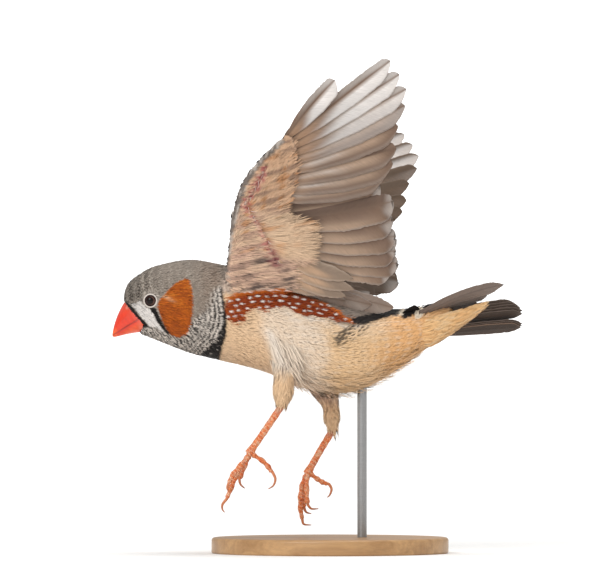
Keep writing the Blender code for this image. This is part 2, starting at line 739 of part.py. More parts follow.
def make_wing(name, wing, parts, tools):
    frame = wing_frame(wing)
    seams = {
        "arm": (ELBOW_SEAM, WRIST_SEAM), "forearm": (ELBOW_SEAM, PALM_SEAM), "hand": (WRIST_SEAM, PALM_SEAM),
    }
    inside = {"arm": (1.0, 8.0), "forearm": (9.0, 14.0), "hand": (4.0, 30.0)}
    plates = {
        "arm": (ARM_OUTLINE, ARM_THICKNESS), "forearm": (FOREARM_OUTLINE, FOREARM_THICKNESS),
        "hand": (HAND_OUTLINE, HAND_THICKNESS),
    }
    rows = {
        "arm": (TERTIAL_ROOTS, TERTIAL_TIPS, TERTIAL_WIDTHS, TERTIAL_DEPTH, (0.4, 0.2)),
        "forearm": (SECONDARY_ROOTS, SECONDARY_TIPS, SECONDARY_WIDTHS, 0.0, (0.8, 0.2)),
        "hand": (PRIMARY_ROOTS, PRIMARY_TIPS, PRIMARY_WIDTHS, 0.0, (-0.4, 1.6)),
    }
    for part, (outline, thickness) in plates.items():
        node = plate(f"wing_{name}_{part}", outline, thickness, frame, parts)
        for seam in seams[part]:
            trim(node, frame, seam, inside[part], tools)
        node.data.materials.clear()
        node.data.materials.append(finish("wing_plumage"))
        row = new_collection(f"{name}_{part}_feathers", hidden=True)
        add_feathers(part, frame, *rows[part], wing, row)
        if part == "hand":
            under = frame.to_3x3() @ Vector((0, 0, 1))
            for i, (root, tip) in enumerate(zip(ALULA_ROOTS, ALULA_TIPS)):
                start, stop = (frame @ Vector((*place, -ALULA_DEPTH)) for place in (root, tip))
                vane(f"alula_{i}", start, stop, under, ALULA_WIDTH, COVERT_SHAPE, (4, 4), row, 0.5)
        apply_boolean(node, "UNION", row)
        bpy.data.collections.remove(row)
        if part == "arm":
            body = put("body_clearance", body_length("body_clearance", HEAD_END, RUMP_END, 20, GAP), tools)
            apply_boolean(node, "DIFFERENCE", body)
        keep_largest(node)


def tail_frame():
    """The matrix from the tail's own axes (along it, to its left edge, to its upper face) to the bird."""
    rise, roll = math.radians(TAIL_RISE), math.radians(TAIL_ROLL)
    along = Vector((math.cos(rise), 0, math.sin(rise)))
    left = Vector((0, -math.cos(roll), math.sin(roll)))
    left = (left - along * left.dot(along)).normalized()
    upper = left.cross(along)
    if upper.z < 0:
        upper = -upper
    matrix = Matrix((along, left, upper)).transposed().to_4x4()
    return Matrix.Translation(Vector(TAIL_ROOT)) @ matrix


def fan_place(far, angle, level):
    """A place in the tail's own axes, from its distance along a shaft, the shaft's angle and its level."""
    turn = math.radians(angle)
    return Vector((far * math.cos(turn), far * math.sin(turn), level))


def under_covert_point(frame, share, angle, shrink=1.0):
    """A place on the surface of the coverts under the tail. Angle 0 is at the bottom, and the top is flat."""
    half_width = (UNDER_COVERT_HALF_WIDTH * (1 - share) ** 0.7 + 0.5) * shrink
    depth = (UNDER_COVERT_DEPTH * (1 - share) ** 1.05 + 0.5) * shrink
    along = UNDER_COVERT_SPAN[0] + (UNDER_COVERT_SPAN[1] - UNDER_COVERT_SPAN[0]) * share
    left = UNDER_COVERT_SHIFT * share**1.5
    down = math.cos(angle)
    height = -depth * down if down > 0 else -0.25 * down
    return frame @ Vector((along, left - half_width * math.sin(angle), UNDER_COVERT_TOP - 0.25 + height))


def add_under_coverts(frame, collection):
    steps, sides = 5, 14
    rings = []
    for i in range(steps + 1):
        share = UNDER_COVERT_CORE * i / steps
        shrink = 0.92 * (1 - 0.75 * (i / steps) ** 3)
        turns = [2 * math.pi * k / sides for k in range(sides)]
        rings.append([under_covert_point(frame, share, turn, shrink) for turn in turns])
    put("under_covert_core", loft("under_covert_core", rings), collection)
    for tier, (start, end, angles) in enumerate(UNDER_COVERT_TIERS):
        for i, degrees in enumerate(angles):
            angle = math.radians(degrees)
            root = under_covert_point(frame, start, angle, 0.86)
            tip = under_covert_point(frame, end, angle * 0.9)
            face = under_covert_point(frame, start, angle, 1.1) - under_covert_point(frame, start, angle, 0.9)
            along = (tip - root).normalized()
            face = face - along * face.dot(along)
            name = f"under_covert_{tier}_{i}"
            width = UNDER_COVERT_WIDTH
            vane(name, root, tip, face, width, COVERT_SHAPE, (0, 0), collection, 0.5, 0.0, 0.0, 0.55)


def make_tail(parts, tools):
    frame = tail_frame()
    upper = frame.to_3x3() @ Vector((0, 0, 1))

    rump = put("rump", body_length("rump", TORSO_END + GAP / 2, RUMP_END, 6), parts, "buff_plumage")
    row = new_collection("tail_coverts", hidden=True)
    add_under_coverts(frame, row)
    for i, (angle, reach, level) in enumerate(UPPER_COVERTS):
        root = frame @ fan_place(12.0, angle, level - 0.8)
        tip = frame @ fan_place(reach, angle, level)
        vane(f"upper_covert_{i}", root, tip, -upper, UPPER_COVERT_WIDTH, COVERT_SHAPE, (0, 0), row, 0.5)
    apply_boolean(rump, "UNION", row)
    bpy.data.collections.remove(row)
    keep_largest(rump)

    length, half_width, thickness = TAIL_BLOCK
    bm = bmesh.new()
    bmesh.ops.create_cube(bm, size=1.0)
    bmesh.ops.scale(bm, vec=(length, 2 * half_width, thickness), verts=bm.verts)
    bmesh.ops.translate(bm, vec=(TAIL_START + GAP + length / 2, 0, 0), verts=bm.verts)
    bmesh.ops.bevel(bm, geom=bm.edges[:], offset=0.7, segments=2, affect="EDGES")
    bmesh.ops.transform(bm, matrix=frame, verts=bm.verts)
    tail = put("tail", mesh_from("tail", bm), parts, "tail_plumage")
    row = new_collection("rectrices", hidden=True)
    for i, (root_angle, tip_angle, reach, level) in enumerate(RECTRICES):
        root = frame @ fan_place(TAIL_START + 0.9, root_angle, level)
        tip = frame @ fan_place(reach, tip_angle, level)
        vane(f"rectrix_{i}", root, tip, -upper, TAIL_WIDTH, TAIL_SHAPE, (0, 0), row, 0.5, 0.0, TAIL_DROOP)
    apply_boolean(tail, "UNION", row)
    bpy.data.collections.remove(row)
    keep_largest(tail)


def ring_round(centre, along, radius, sides, flat=1.0):
    """A ring of points square to a direction, flattened across Y if wanted."""
    along = Vector(along).normalized()
    across = Vector((0, 1, 0))
    across = (across - along * across.dot(along)).normalized()
    other = along.cross(across)
    turns = [2 * math.pi * k / sides for k in range(sides)]
    wide, tall = across * radius * flat, other * radius
    return [Vector(centre) + wide * math.cos(a) + tall * math.sin(a) for a in turns]


def make_leg(name, leg, parts, tools):
    places = [place for place, _ in leg["thigh"]]
    steps = 10
    path = smooth_path(places, steps)
    radii = [r for r, in smooth_path([(radius,) for _, radius in leg["thigh"]], steps)]
    rings = []
    for i, (place, radius) in enumerate(zip(path, radii)):
        after, before = path[min(i + 1, steps)], path[max(i - 1, 0)]
        rings.append(ring_round(place, Vector(after) - Vector(before), radius, THIGH_SIDES, 0.9))
    thigh = put(f"thigh_{name}", loft(f"thigh_{name}", rings), parts, "buff_plumage")
    body = put("body_clearance", body_length("body_clearance", HEAD_END, RUMP_END, 20, GAP), tools)
    apply_boolean(thigh, "DIFFERENCE", body)
    keep_largest(thigh)

    shank = smooth_path(leg["shank"], 6)
    radii = [SHANK_END_RADIUS] + [SHANK_RADIUS] * 4 + [SHANK_RADIUS * 1.08, SHANK_END_RADIUS]
    tube(f"shank_{name}", shank, radii, parts, 2).data.materials.append(finish("leg_orange"))
    for toe, (bones, claw) in leg["toes"].items():
        steps = 2 * (len(bones) - 1) + 1
        path = smooth_path(bones, steps)
        radii = [TOE_RADIUS if i % 2 else TOE_PAD_RADIUS for i in range(steps + 1)]
        radii[0] = TOE_RADIUS * 0.9
        radii[-1] = TOE_RADIUS * 0.8
        tube(f"toe_{name}_{toe}", path, radii, parts).data.materials.append(finish("leg_orange"))
        path = smooth_path(claw, 5)
        radii = [CLAW_RADIUS + (CLAW_TIP_RADIUS - CLAW_RADIUS) * (i / 5) ** 1.5 for i in range(6)]
        tube(f"claw_{name}_{toe}", path, radii, parts).data.materials.append(finish("claw_horn"))


def make_stand(parts):
    bm = bmesh.new()
    sizes = {"radius1": BASE_RADIUS, "radius2": BASE_RADIUS, "depth": BASE_HEIGHT}
    bmesh.ops.create_cone(bm, cap_ends=True, segments=BASE_SIDES, **sizes)
    bmesh.ops.translate(bm, vec=(0, 0, BASE_HEIGHT / 2), verts=bm.verts)
    rim = [e for e in bm.edges if all(abs(v.co.z - BASE_HEIGHT) < 0.01 for v in e.verts)]
    bmesh.ops.bevel(bm, geom=rim, offset=BASE_EDGE, segments=2, profile=0.5, affect="EDGES")
    put("stand_base", mesh_from("stand_base", bm), parts, "stand_wood")
    bm = bmesh.new()
    bottom = BASE_HEIGHT + GAP
    sizes = {"radius1": ROD_RADIUS, "radius2": ROD_RADIUS, "depth": ROD_TOP - bottom}
    bmesh.ops.create_cone(bm, cap_ends=True, segments=ROD_SIDES, **sizes)
    bmesh.ops.translate(bm, vec=(ROD_X, 0, (ROD_TOP + bottom) / 2), verts=bm.verts)
    put("stand_rod", mesh_from("stand_rod", bm), parts, "stand_steel")


def main():
    for old in list(bpy.data.objects):
        bpy.data.objects.remove(old)
    parts = new_collection("zebra_finch")
    tools = new_collection("cutters", hidden=True)
    make_head(parts, tools)
    make_bill(parts, tools)
    make_trunk(parts, tools)
    make_tail(parts, tools)
    for name, wing in WINGS.items():
        make_wing(name, wing, parts, tools)
    for name, leg in LEGS.items():
        make_leg(name, leg, parts, tools)
    make_stand(parts)
    for shown in parts.objects:
        if shown.type == "MESH" and not shown.name.startswith(("wing", "tail", "rump")):
            shown.data.shade_smooth()
            shown.data.set_sharp_from_angle(angle=math.radians(40))


main()
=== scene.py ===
import math

import bmesh
import bpy
import numpy as np
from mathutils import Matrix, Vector
from mathutils.bvhtree import BVHTree


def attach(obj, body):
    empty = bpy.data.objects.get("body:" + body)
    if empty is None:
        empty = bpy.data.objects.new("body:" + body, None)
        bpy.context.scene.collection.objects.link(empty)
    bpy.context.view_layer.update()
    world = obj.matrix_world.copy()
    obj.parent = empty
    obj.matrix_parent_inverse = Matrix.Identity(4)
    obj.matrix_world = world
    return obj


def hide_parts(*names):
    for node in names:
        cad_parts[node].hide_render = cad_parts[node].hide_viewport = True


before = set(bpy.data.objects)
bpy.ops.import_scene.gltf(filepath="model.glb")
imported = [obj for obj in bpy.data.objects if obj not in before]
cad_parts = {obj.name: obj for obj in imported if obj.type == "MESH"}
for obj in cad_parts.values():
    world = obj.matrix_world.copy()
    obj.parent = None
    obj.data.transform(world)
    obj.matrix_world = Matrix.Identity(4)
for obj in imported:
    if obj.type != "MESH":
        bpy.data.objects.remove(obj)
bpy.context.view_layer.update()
for spare in ("Cube", "Light", "Camera"):
    if spare in bpy.data.objects:
        bpy.data.objects.remove(bpy.data.objects[spare])

# Shapes are worked out in millimetres, in the bird's own frame, and turned into metres as a mesh is made.
mm = 0.001
chance = np.random.default_rng(20)
bird = bpy.context.scene.collection


def paint(code):
    # a colour written as six hex digits, in linear light
    parts = np.array([int(code[i:i + 2], 16) for i in (0, 2, 4)]) / 255
    return np.where(parts <= 0.04045, parts / 12.92, ((parts + 0.055) / 1.055) ** 2.4)


def palette(**codes):
    return {name: paint(code) for name, code in codes.items()}


def turns(sides):
    # angles once round, evenly spaced
    return np.linspace(0, 2 * math.pi, sides, endpoint=False)


def unit(vectors):
    return vectors / np.maximum(np.linalg.norm(vectors, axis=-1, keepdims=True), 1e-12)


def ease(low, high, value):
    f = np.clip((value - low) / (high - low), 0, 1)
    return f * f * (3 - 2 * f)


def mixed(a, b, share):
    share = np.asarray(share)[..., None]
    return a * (1 - share) + b * share


def fade(low, high, value):
    return 1 - ease(low, high, value)


def hump(value, middle, width):
    # a smooth hill, 1 high
    return np.exp(-((value - middle) / width) ** 2)


def between(pair, share):
    return pair[0] + (pair[1] - pair[0]) * share


def layered(colour, *layers):
    # tones laid over one another, each with its share
    for tone, share in layers:
        colour = mixed(colour, tone, share)
    return colour


def wobble(points, size, seed=0):
    # smooth noise from about -1 to 1, with features about size across
    draw = np.random.default_rng(900 + seed)
    total = 0
    for _ in range(7):
        wave = draw.normal(size=3) * 2.2 / size
        total = total + np.sin(points @ wave + draw.uniform(0, 6.28))
    return total / 3.2


def splineAt(table, t):
    # Catmull-Rom through the table's rows, which stand at t = 0, 1, 2 and so on
    table = np.asarray(table, float)
    last = len(table) - 1
    i = np.clip(t.astype(int), 0, last - 1)
    f = (t - i)[:, None]
    a, b, c, d = (table[np.clip(i + k, 0, last)] for k in (-1, 0, 1, 2))
    return b + 0.5 * f * (c - a + f * (2 * a - 5 * b + 4 * c - d + f * (3 * (b - c) + d - a)))


def smoothPath(points, steps):
    return splineAt(points, np.linspace(0, len(points) - 1, steps + 1))


# Body: x, top, bottom, half width, and the share of the height at which it is widest.
body = {
    "stations": np.array([
        (-52.4, 63.6, 61.4, 0.9, 0.5), (-51.6, 66.8, 57.6, 3.2, 0.5), (-50.2, 68.7, 56.2, 4.9, 0.48),
        (-46.6, 71.7, 54.9, 6.8, 0.47), (-42.3, 73.2, 53.2, 7.7, 0.46), (-35.4, 74.3, 50.6, 8.5, 0.46),
        (-28.1, 73.2, 48.8, 9.9, 0.47), (-17.2, 70.6, 46.1, 12.1, 0.49), (-5.1, 66.6, 41.4, 12.7, 0.5),
        (6.3, 63.2, 40.9, 11.0, 0.52), (16.5, 61.8, 46.0, 7.8, 0.54), (25.8, 63.2, 52.7, 5.4, 0.56),
        (31.0, 63.6, 56.0, 4.6, 0.56),
    ]),
    "squareness": 2.15,
    "billBrow": np.array((-52.1, 0, 63.4)),
    "billChin": np.array((-47.6, 0, 56.0)),
    "eye": np.array((-45.2, 5.5, 63.9)),
    "eyeTurn": 7.0,
}
seatLine = body["billChin"] - body["billBrow"]
billAway = unit(np.array((seatLine[2], 0, -seatLine[0])))  # square to the bill's seat, towards the bill's tip


def bodyPoint(t, angle, grow):
    x, top, bottom, half, widest = splineAt(body["stations"], t).T
    top, bottom = top + grow, bottom - grow
    half = np.maximum(half + grow, 0.25)
    short = np.maximum(0.5 - (top - bottom), 0) / 2
    top, bottom = top + short, bottom - short
    middle = bottom + (top - bottom) * widest
    power = 2 / body["squareness"]
    across, up = np.sin(angle), np.cos(angle)
    reach = np.where(up > 0, top - middle, middle - bottom)
    y = -half * np.sign(across) * np.abs(across) ** power
    z = middle + reach * np.sign(up) * np.abs(up) ** power
    return np.stack([x, y, z], -1)


denseT = np.linspace(0, 12, 400)
denseRows = splineAt(body["stations"], denseT)


def bodyT(x):
    return float(np.interp(x, denseRows[:, 0], denseT))


def billEdge(points):
    # how far behind the flat seat the bill reaches: most at the corner of the mouth, less than nothing at the chin
    z = points[:, 2]
    return np.interp(z, [54.5, 55.9, 56.6, 57.4, 59.0, 61.0, 63.6], [-1.2, -0.9, 0.5, 1.35, 0.95, 0.45, 0.05])


def eyeOutward(side):
    turn = math.radians(body["eyeTurn"])
    return np.array((-math.sin(turn), side * math.cos(turn), 0.0))


def eyeReach(points):
    # distance from the nearer eye's own axis
    reach = np.full(len(points), 99.0)
    for side in (-1, 1):
        arm = points - body["eye"] * (1, side, 1)
        along = arm @ eyeOutward(side)
        away = np.linalg.norm(arm - along[:, None] * eyeOutward(side), axis=1)
        reach = np.where((along > 0) & (away < reach), away, reach)
    return reach


# Wings, laid out flat: u runs back along the bird, v up the raised wing, n towards its underside.
wings = {
    "left": {
        "side": -1, "shoulder": (-21.5, -8.5, 67.0), "tilt": 20.0, "sweep": 0.0, "lift": 0.0, "reach": 0.0,
        "fold": 0.0,
    },
    "right": {
        "side": 1, "shoulder": (-21.5, 8.8, 64.2), "tilt": 43.0, "sweep": 3.0, "lift": 9.0, "reach": 1.2,
        "fold": 6.0,
    },
}
wingParts = ("arm", "forearm", "hand")
flesh = {
    "arm": [(-5.2, 2.6), (-3.9, 12.4), (-3.2, 19.6), (0.6, 20.8), (5.6, 14.2), (10.4, 7.6), (11.2, 1.4),
            (4.0, -3.4), (-3.4, -2.4)],
    "forearm": [(-1.4, 21.0), (2.8, 21.8), (8.0, 20.2), (16.4, 16.2), (16.0, 11.2), (10.9, 7.9), (4.0, 12.7)],
    "hand": [(-3.4, 18.6), (-2.2, 24.0), (-0.9, 27.8), (1.5, 31.8), (5.6, 36.5), (9.8, 40.3), (12.8, 36.4),
             (12.8, 29.5), (9.0, 20.9), (2.6, 19.0)],
    "halfThickness": {"arm": 1.0, "forearm": 0.8, "hand": 0.7},
    "section": ((0.9, -1), (1.0, -0.45), (1.0, 0.45), (0.9, 1)),  # the rings' size and level through the thickness
    "inset": 0.985,
}


def wingAxes(wing):
    tilt, sweep, side = math.radians(wing["tilt"]), math.radians(wing["sweep"]), wing["side"]
    back = np.array((1.0, 0, 0))
    up = np.array((0, side * math.sin(tilt), math.cos(tilt)))
    under = np.array((0, side * math.cos(tilt), -math.sin(tilt)))
    u = back * math.cos(sweep) - up * math.sin(sweep)
    v = up * math.cos(sweep) + back * math.sin(sweep)
    return u, v, under


def wingPoint(wing, u, v, n):
    axes = wingAxes(wing)
    place = [np.broadcast_to(np.asarray(k, float), np.broadcast(u, v, n).shape) for k in (u, v, n)]
    return np.array(wing["shoulder"]) + sum(k[..., None] * axis for k, axis in zip(place, axes))


def wingCoordinates(wing, points):
    arm = points - np.array(wing["shoulder"])
    return [arm @ axis for axis in wingAxes(wing)]


def lineDistance(u, v, line):
    best = np.full(np.shape(u), 1e9)
    for (au, av), (bu, bv) in zip(line, line[1:]):
        eu, ev = bu - au, bv - av
        f = np.clip(((u - au) * eu + (v - av) * ev) / (eu * eu + ev * ev), 0, 1)
        best = np.minimum(best, np.hypot(u - au - f * eu, v - av - f * ev))
    return best


def edgeDistance(x, z, outline):
    # distance inside an outline in a plane, less than zero outside it
    line, inside = [*outline, outline[0]], np.zeros(len(x), bool)
    for (ax, az), (bx, bz) in zip(line, line[1:]):
        rise = bz - az if abs(bz - az) > 1e-9 else 1e-9
        inside ^= ((az > z) != (bz > z)) & (x < ax + (bx - ax) * (z - az) / rise)
    return lineDistance(x, z, line) * np.where(inside, 1, -1)


# Markings, seen from the side and the same on both sides of the bird.
markings = {
    **palette(
        crown="93877b", crownDark="2e2925", crownLight="b0a79c", nape="8e7c6d", mantle="877a6f", lore="ece5df",
        tear="15110f", cheek="ad5407", cheekDark="803603", cheekLight="d98530", cheekPale="e6b991",
        eyeField="b9aea3", barWhite="d2c7bc", barBlack="191513", breast="e0bd98", breastGrey="c4ad98",
        cream="f6dfc6", white="f8ecdf", buff="f0c899", cinnamon="e4ab70", flank="8a3505", flankEdge="c0621a",
        spot="fdf8f2", rump="a79b90", black="1c1715", streak="3d3630", ovals="fdebd2", armpit="d2bba9",
        armpitDark="75665d", thighTop="fbead6", thighFar="96705f", thighLow="f3cca2", thighDark="6b564c",
    ),
    "cheekOutline": [(-36.5, 69.5), (-35.4, 69.2), (-34.8, 66.6), (-34.5, 63.9), (-34.7, 61.2), (-35.1, 58.4),
                     (-35.9, 55.7), (-37.9, 54.6), (-40.2, 55.1), (-41.5, 56.9), (-42.6, 59.3), (-43.4, 61.8),
                     (-43.5, 63.6), (-42.4, 64.8), (-40.8, 66.6), (-39.0, 68.4)],
    "loreOutline": [(-50.2, 62.9), (-48.1, 63.7), (-46.9, 62.5), (-45.4, 61.9), (-44.4, 60.6), (-43.6, 58.7),
                    (-42.4, 57.0), (-41.3, 55.5), (-43.8, 56.9), (-45.6, 57.6), (-47.4, 59.3), (-48.9, 61.4)],
    "tearOutline": [(-45.6, 62.2), (-44.2, 62.3), (-43.4, 60.5), (-42.8, 58.7), (-41.8, 57.0), (-40.9, 55.9),
                    (-41.1, 55.6), (-42.7, 57.2), (-43.9, 59.2), (-44.8, 60.8)],
    "flankOutline": [(-26.3, 64.7), (-21.4, 66.3), (-15.6, 67.0), (-9.8, 66.8), (-5.2, 65.7), (-1.0, 63.9),
                     (2.2, 61.4), (5.1, 59.4), (6.6, 58.2), (3.1, 58.4), (-0.4, 59.5), (-5.6, 60.1),
                     (-8.5, 60.6), (-11.1, 62.5), (-14.0, 62.0), (-16.6, 61.3), (-18.8, 62.0), (-21.1, 60.7),
                     (-21.4, 58.5), (-24.6, 58.1), (-26.3, 59.5)],
    "rumpOutline": [(4.9, 59.3), (10.9, 60.9), (17.4, 62.2), (22.8, 63.6), (31.0, 65.2), (31.0, 62.6),
                    (22.8, 61.0), (18.7, 59.2), (17.0, 60.4), (13.8, 59.5), (9.3, 58.1), (5.2, 57.9)],
    "rumpOvals": ((18.2, 61.0, 0.65, 0.9), (22.6, 60.9, 1.15, 1.6)),  # middle, half width and half height
    "ovalsAround": (19.8, 60.8),
    "streaksAround": (5.0, 55.7),
    "spotGap": (2.3, 1.35),  # along the rows of white spots, and from row to row
    "spotSize": (0.52, 0.23),
    "barGap": 0.8,
    "breastBarGap": 1.2,
}


def spotsAt(along, across, seed):
    # how much of a point lies in a white spot, in staggered, uneven rows
    gapA, gapB = markings["spotGap"]
    sizeA, sizeB = markings["spotSize"]
    row = np.round(across / gapB)
    shifted = along - (row % 2) * gapA / 2
    column = np.round(shifted / gapA)
    draw = np.sin(row * 12.99 + column * 78.23 + seed) * 43758.5
    jitter = draw - np.floor(draw)
    other = (jitter * 7.31) % 1
    da = (shifted - column * gapA - (jitter - 0.5) * 1.1) / (sizeA * (0.55 + 0.9 * other))
    db = (across - row * gapB - (other - 0.5) * 0.5) / (sizeB * (0.75 + 0.6 * jitter))
    return fade(0.75, 1.3, da * da + db * db)


def streakDistance(x, z, wide, tall):
    # from the middle of the dark streaks, in half sizes of their slanting patch
    middleX, middleZ = markings["streaksAround"]
    return np.hypot((x - middleX) / wide, (z - middleZ - 0.5 * (x - middleX)) / tall)


def bodyColours(points):
    x, y, z = points.T
    m = markings
    top, bottom, half = (np.interp(x, denseRows[:, 0], denseRows[:, k]) for k in (1, 2, 3))
    height = (z - bottom) / (top - bottom)
    fine, broad = wobble(points, 0.55, 1), wobble(points, 3.5, 2)
    strands = wobble(points * (0.22, 1.0, 1.0), 0.6, 3)
    # the breast, the fold in front of the thigh, and the belly
    fold = x - (-15.7 + (54.9 - z) * 0.38)
    colour = mixed(m["breast"], m["breastGrey"], 0.5 * ease(0.0, 0.9, broad) * fade(0.3, 0.5, height))
    colour = layered(
        colour,
        (m["cream"], ease(-2.5, 1.5, fold + broad) * (0.85 + 0.15 * fine)),
        # a white band along the fold in front of the thigh: partly the pale feathers there, partly a painted sheen
        (m["white"], 0.75 * hump(fold, 0.9, 1.3) * fade(55, 58, z)),
        (m["white"], 0.4 * ease(-0.2, 0.8, strands) * ease(-13, -9, x) * fade(-2, 4, x)),
        (m["buff"], ease(-6, 3, x + 1.5 * broad) * (1 - 0.45 * ease(0.5, 0.8, height))),
        (m["cinnamon"], 0.85 * ease(8, 17, x + 1.5 * broad) * ease(0.0, 0.2, height + 0.1)),
        (m["cream"], 0.4 * ease(0.1, 0.9, strands) * ease(-14, -10, x)),
    )
    # pale strands under the flank, the armpit and the back
    flankDepth = edgeDistance(x, z, m["flankOutline"])
    under = hump(flankDepth, -0.7, 0.7) * (z < 62) * ease(-14, -10, x)
    colour = mixed(colour, m["white"], 0.7 * under * ease(-0.3, 0.5, strands))
    backLine = np.interp(x, [-28, -22, 0, 8, 16], [0.88, 0.8, 0.8, 0.84, 0.88])
    # dark strands in the armpit, partly the feathers' own and partly painted shade under the raised wing
    armpit = mixed(m["armpit"], m["armpitDark"], 0.8 * ease(0.2, 0.8, strands + 0.5 * hump(x, -12.5, 3.5)))
    colour = mixed(colour, armpit, ease(65.2, 66.4, z + 0.4 * fine) * fade(-3, 4, x))
    back = fade(0.66, 0.82, np.abs(y) / half + 0.05 * fine) * ease(0.6, 0.75, height)
    colour = layered(
        colour,
        (m["mantle"], back * fade(3, 6, x)),
        (m["mantle"] * 0.9, ease(-3, 4, x) * fade(7, 10, x) * ease(-0.12, -0.04, height - backLine)),
        (
            m["mantle"],
            np.where(x < -3, ease(70.2, 71.4, z + 0.3 * fine), ease(-0.02, 0.03, height - backLine + 0.02 * fine)),
        ),
        (m["rump"], 0.7 * ease(0.93, 0.98, height) * ease(6, 9, x)),
    )
    # the black sides of the rump with their pale ovals, and the dark streaks below
    side = edgeDistance(x, z, m["rumpOutline"])
    colour = mixed(colour, m["black"], ease(-0.15, 0.2, side + 0.2 * fine))
    for ovalX, ovalZ, wide, tall in m["rumpOvals"]:
        oval = ((x - ovalX - 0.3 * (z - ovalZ)) / wide) ** 2 + ((z - ovalZ) / tall) ** 2
        colour = mixed(colour, m["ovals"], fade(0.75, 1.2, oval + 0.06 * fine))
    patch = fade(0.4, 1.6, streakDistance(x, z, 5.6, 2.2) ** 2)
    slant = np.stack([0.2 * (0.82 * x + 0.57 * z), y, 0.82 * z - 0.57 * x], -1)
    colour = mixed(colour, m["streak"], 0.9 * patch * ease(-0.25, 0.3, wobble(slant, 0.34, 5)))
    # the chestnut flank with its white spots
    flank = ease(-0.2, 0.2, flankDepth + 0.45 * strands)
    rim = np.interp(x, *np.array(m["flankOutline"][:9]).T)
    tone = mixed(
        m["flank"], m["flankEdge"], 0.4 * ease(0.2, 1, strands) + 0.8 * fade(0.4, 1.5, rim - z + 0.3 * strands),
    )
    slope = 0.12 * (x + 10) + 0.012 * (x + 10) ** 2
    tone = mixed(
        tone, m["spot"],
        spotsAt(x, z + slope, 0.0) * ease(0.1, 0.4, flankDepth) * (0.75 + 0.25 * ease(-0.4, 0.2, broad)),
    )
    colour = mixed(colour, tone, flank * ease(0.5, 0.6, np.abs(y) / half))
    # head and neck
    head = mixed(m["crown"], m["nape"], ease(-36, -29, x))
    scaly = wobble(points, 0.24, 6)
    front = fade(-48, -39, x + 0.35 * (z - 66))
    head = layered(
        head,
        (m["crownDark"], ease(-0.15, 0.4, scaly) * (0.16 + 0.76 * front)),
        (m["crownLight"], ease(0.15, 0.6, -scaly) * (0.25 + 0.45 * front)),
    )
    reach = eyeReach(points)
    head = mixed(head, m["eyeField"], 0.6 * fade(1.9, 3.2, reach))
    # the fine bars of the throat and the bolder ones of the breast
    throatLine = np.interp(x, [-50, -46, -41, -37, -34, -30, -27], [57.2, 57.6, 55.6, 54.2, 59.5, 62.0, 64.5])
    throat = fade(-0.8, 1.0, z - throatLine)
    phase = (x * 0.82 + z * 0.45 + 0.5 * wobble(points, 1.1, 9)) / m["barGap"]
    fineBars = ease(-0.3, 0.25, np.sin(phase * 6.28) + 0.5 * wobble(points, 0.4, 10))
    head = mixed(head, mixed(m["barWhite"], m["barBlack"], (0.9 + 0.08 * ease(-42, -36, x)) * fineBars), throat)
    band = x - np.interp(z, [48, 49, 51.4, 55.2, 59, 63, 66.6], [-27.8, -27.9, -27.3, -26.3, -26.0, -26.6, -27.2])
    solidWidth = np.interp(z, [48.5, 50, 52, 54, 57, 60, 66], [5.6, 5.0, 3.8, 2.4, 1.1, 0.6, 0.35])
    ahead = -(band + solidWidth)
    bold = ease(
        -0.1, 0.35,
        0.5 * fade(50, 56, z) + np.cos(6.28 * (ahead + 0.12) / m["breastBarGap"] + 1.3 * wobble(points, 1.1, 11))
        + 0.45 * fine,
    )
    width = np.interp(z, [48, 56, 62, 66, 69], [7.5, 6.5, 5.0, 3.0, 0.2])
    inBand = fade(width - 2.5, width + 1.0, ahead) * fade(66.5, 69, z)
    head = mixed(head, mixed(m["barWhite"], m["barBlack"], bold), inBand * (1 - 0.35 * ease(1.5, 5, ahead)))
    broken = 1 - 0.7 * ease(0.55, 0.75, wobble(points, 0.5, 13)) * ease(0.5, 1.0, -band)
    solid = ease(-0.15, 0.1, band + solidWidth + 0.2 * fine) * broken * fade(66, 68, z)
    head = mixed(head, m["barBlack"], solid)
    soft = 0.15 + 1.2 * ease(66.5, 68, z)
    colour = mixed(head, colour, ease(-1, 1, (band + 0.15 * fine) / soft))
    # the face
    cheek = edgeDistance(x, z, m["cheekOutline"])
    strandy = wobble(points * (0.3, 1, 2.2), 0.6, 12)
    tone = mixed(
        m["cheek"], m["cheekDark"],
        0.6 * ease(-0.4, 1.1, strandy + 0.5 * fade(0.3, 1.2, cheek) - 0.4 * ease(61, 66, z)),
    )
    tone = mixed(tone, m["cheekLight"], 0.4 * ease(0.1, 0.9, -strandy) * ease(60, 66, z))
    # a painted highlight: a pale streak high at the front of the cheek
    light = hump(x + 0.5 * (z - 65), -41.2, 1.2) * hump(z + 0.45 * (x + 41.2), 64.7, 0.5)
    tone = mixed(tone, m["cheekPale"], 0.75 * light * (0.8 + 0.4 * strandy))
    colour = mixed(colour, tone, ease(-0.12, 0.12, cheek + 0.12 * fine) * (np.abs(y) > 2))
    lore = edgeDistance(x, z, m["loreOutline"])
    whitish = mixed(m["lore"], m["crownDark"], 0.45 * ease(0.1, 0.6, scaly) * ease(58.5, 61.5, z))
    colour = mixed(colour, whitish, ease(-0.15, 0.2, lore + 0.2 * fine) * (np.abs(y) > 1.2))
    tear = edgeDistance(x, z, m["tearOutline"])
    colour = mixed(colour, m["tear"], ease(-0.25, 0.0, tear + 0.3 * fine) * (np.abs(y) > 2))
    behindBill = -(points - body["billBrow"]) @ billAway - billEdge(points)
    line = fade(0.75, 1.0, behindBill + 0.1 * fine) * fade(63.2, 63.9, z) * ease(-0.2, 0.4, z - 56.9)
    colour = mixed(colour, m["tear"], line * (np.abs(y) > 0.8) * (x < -44))
    return np.clip(colour, 0.004, 0.98)


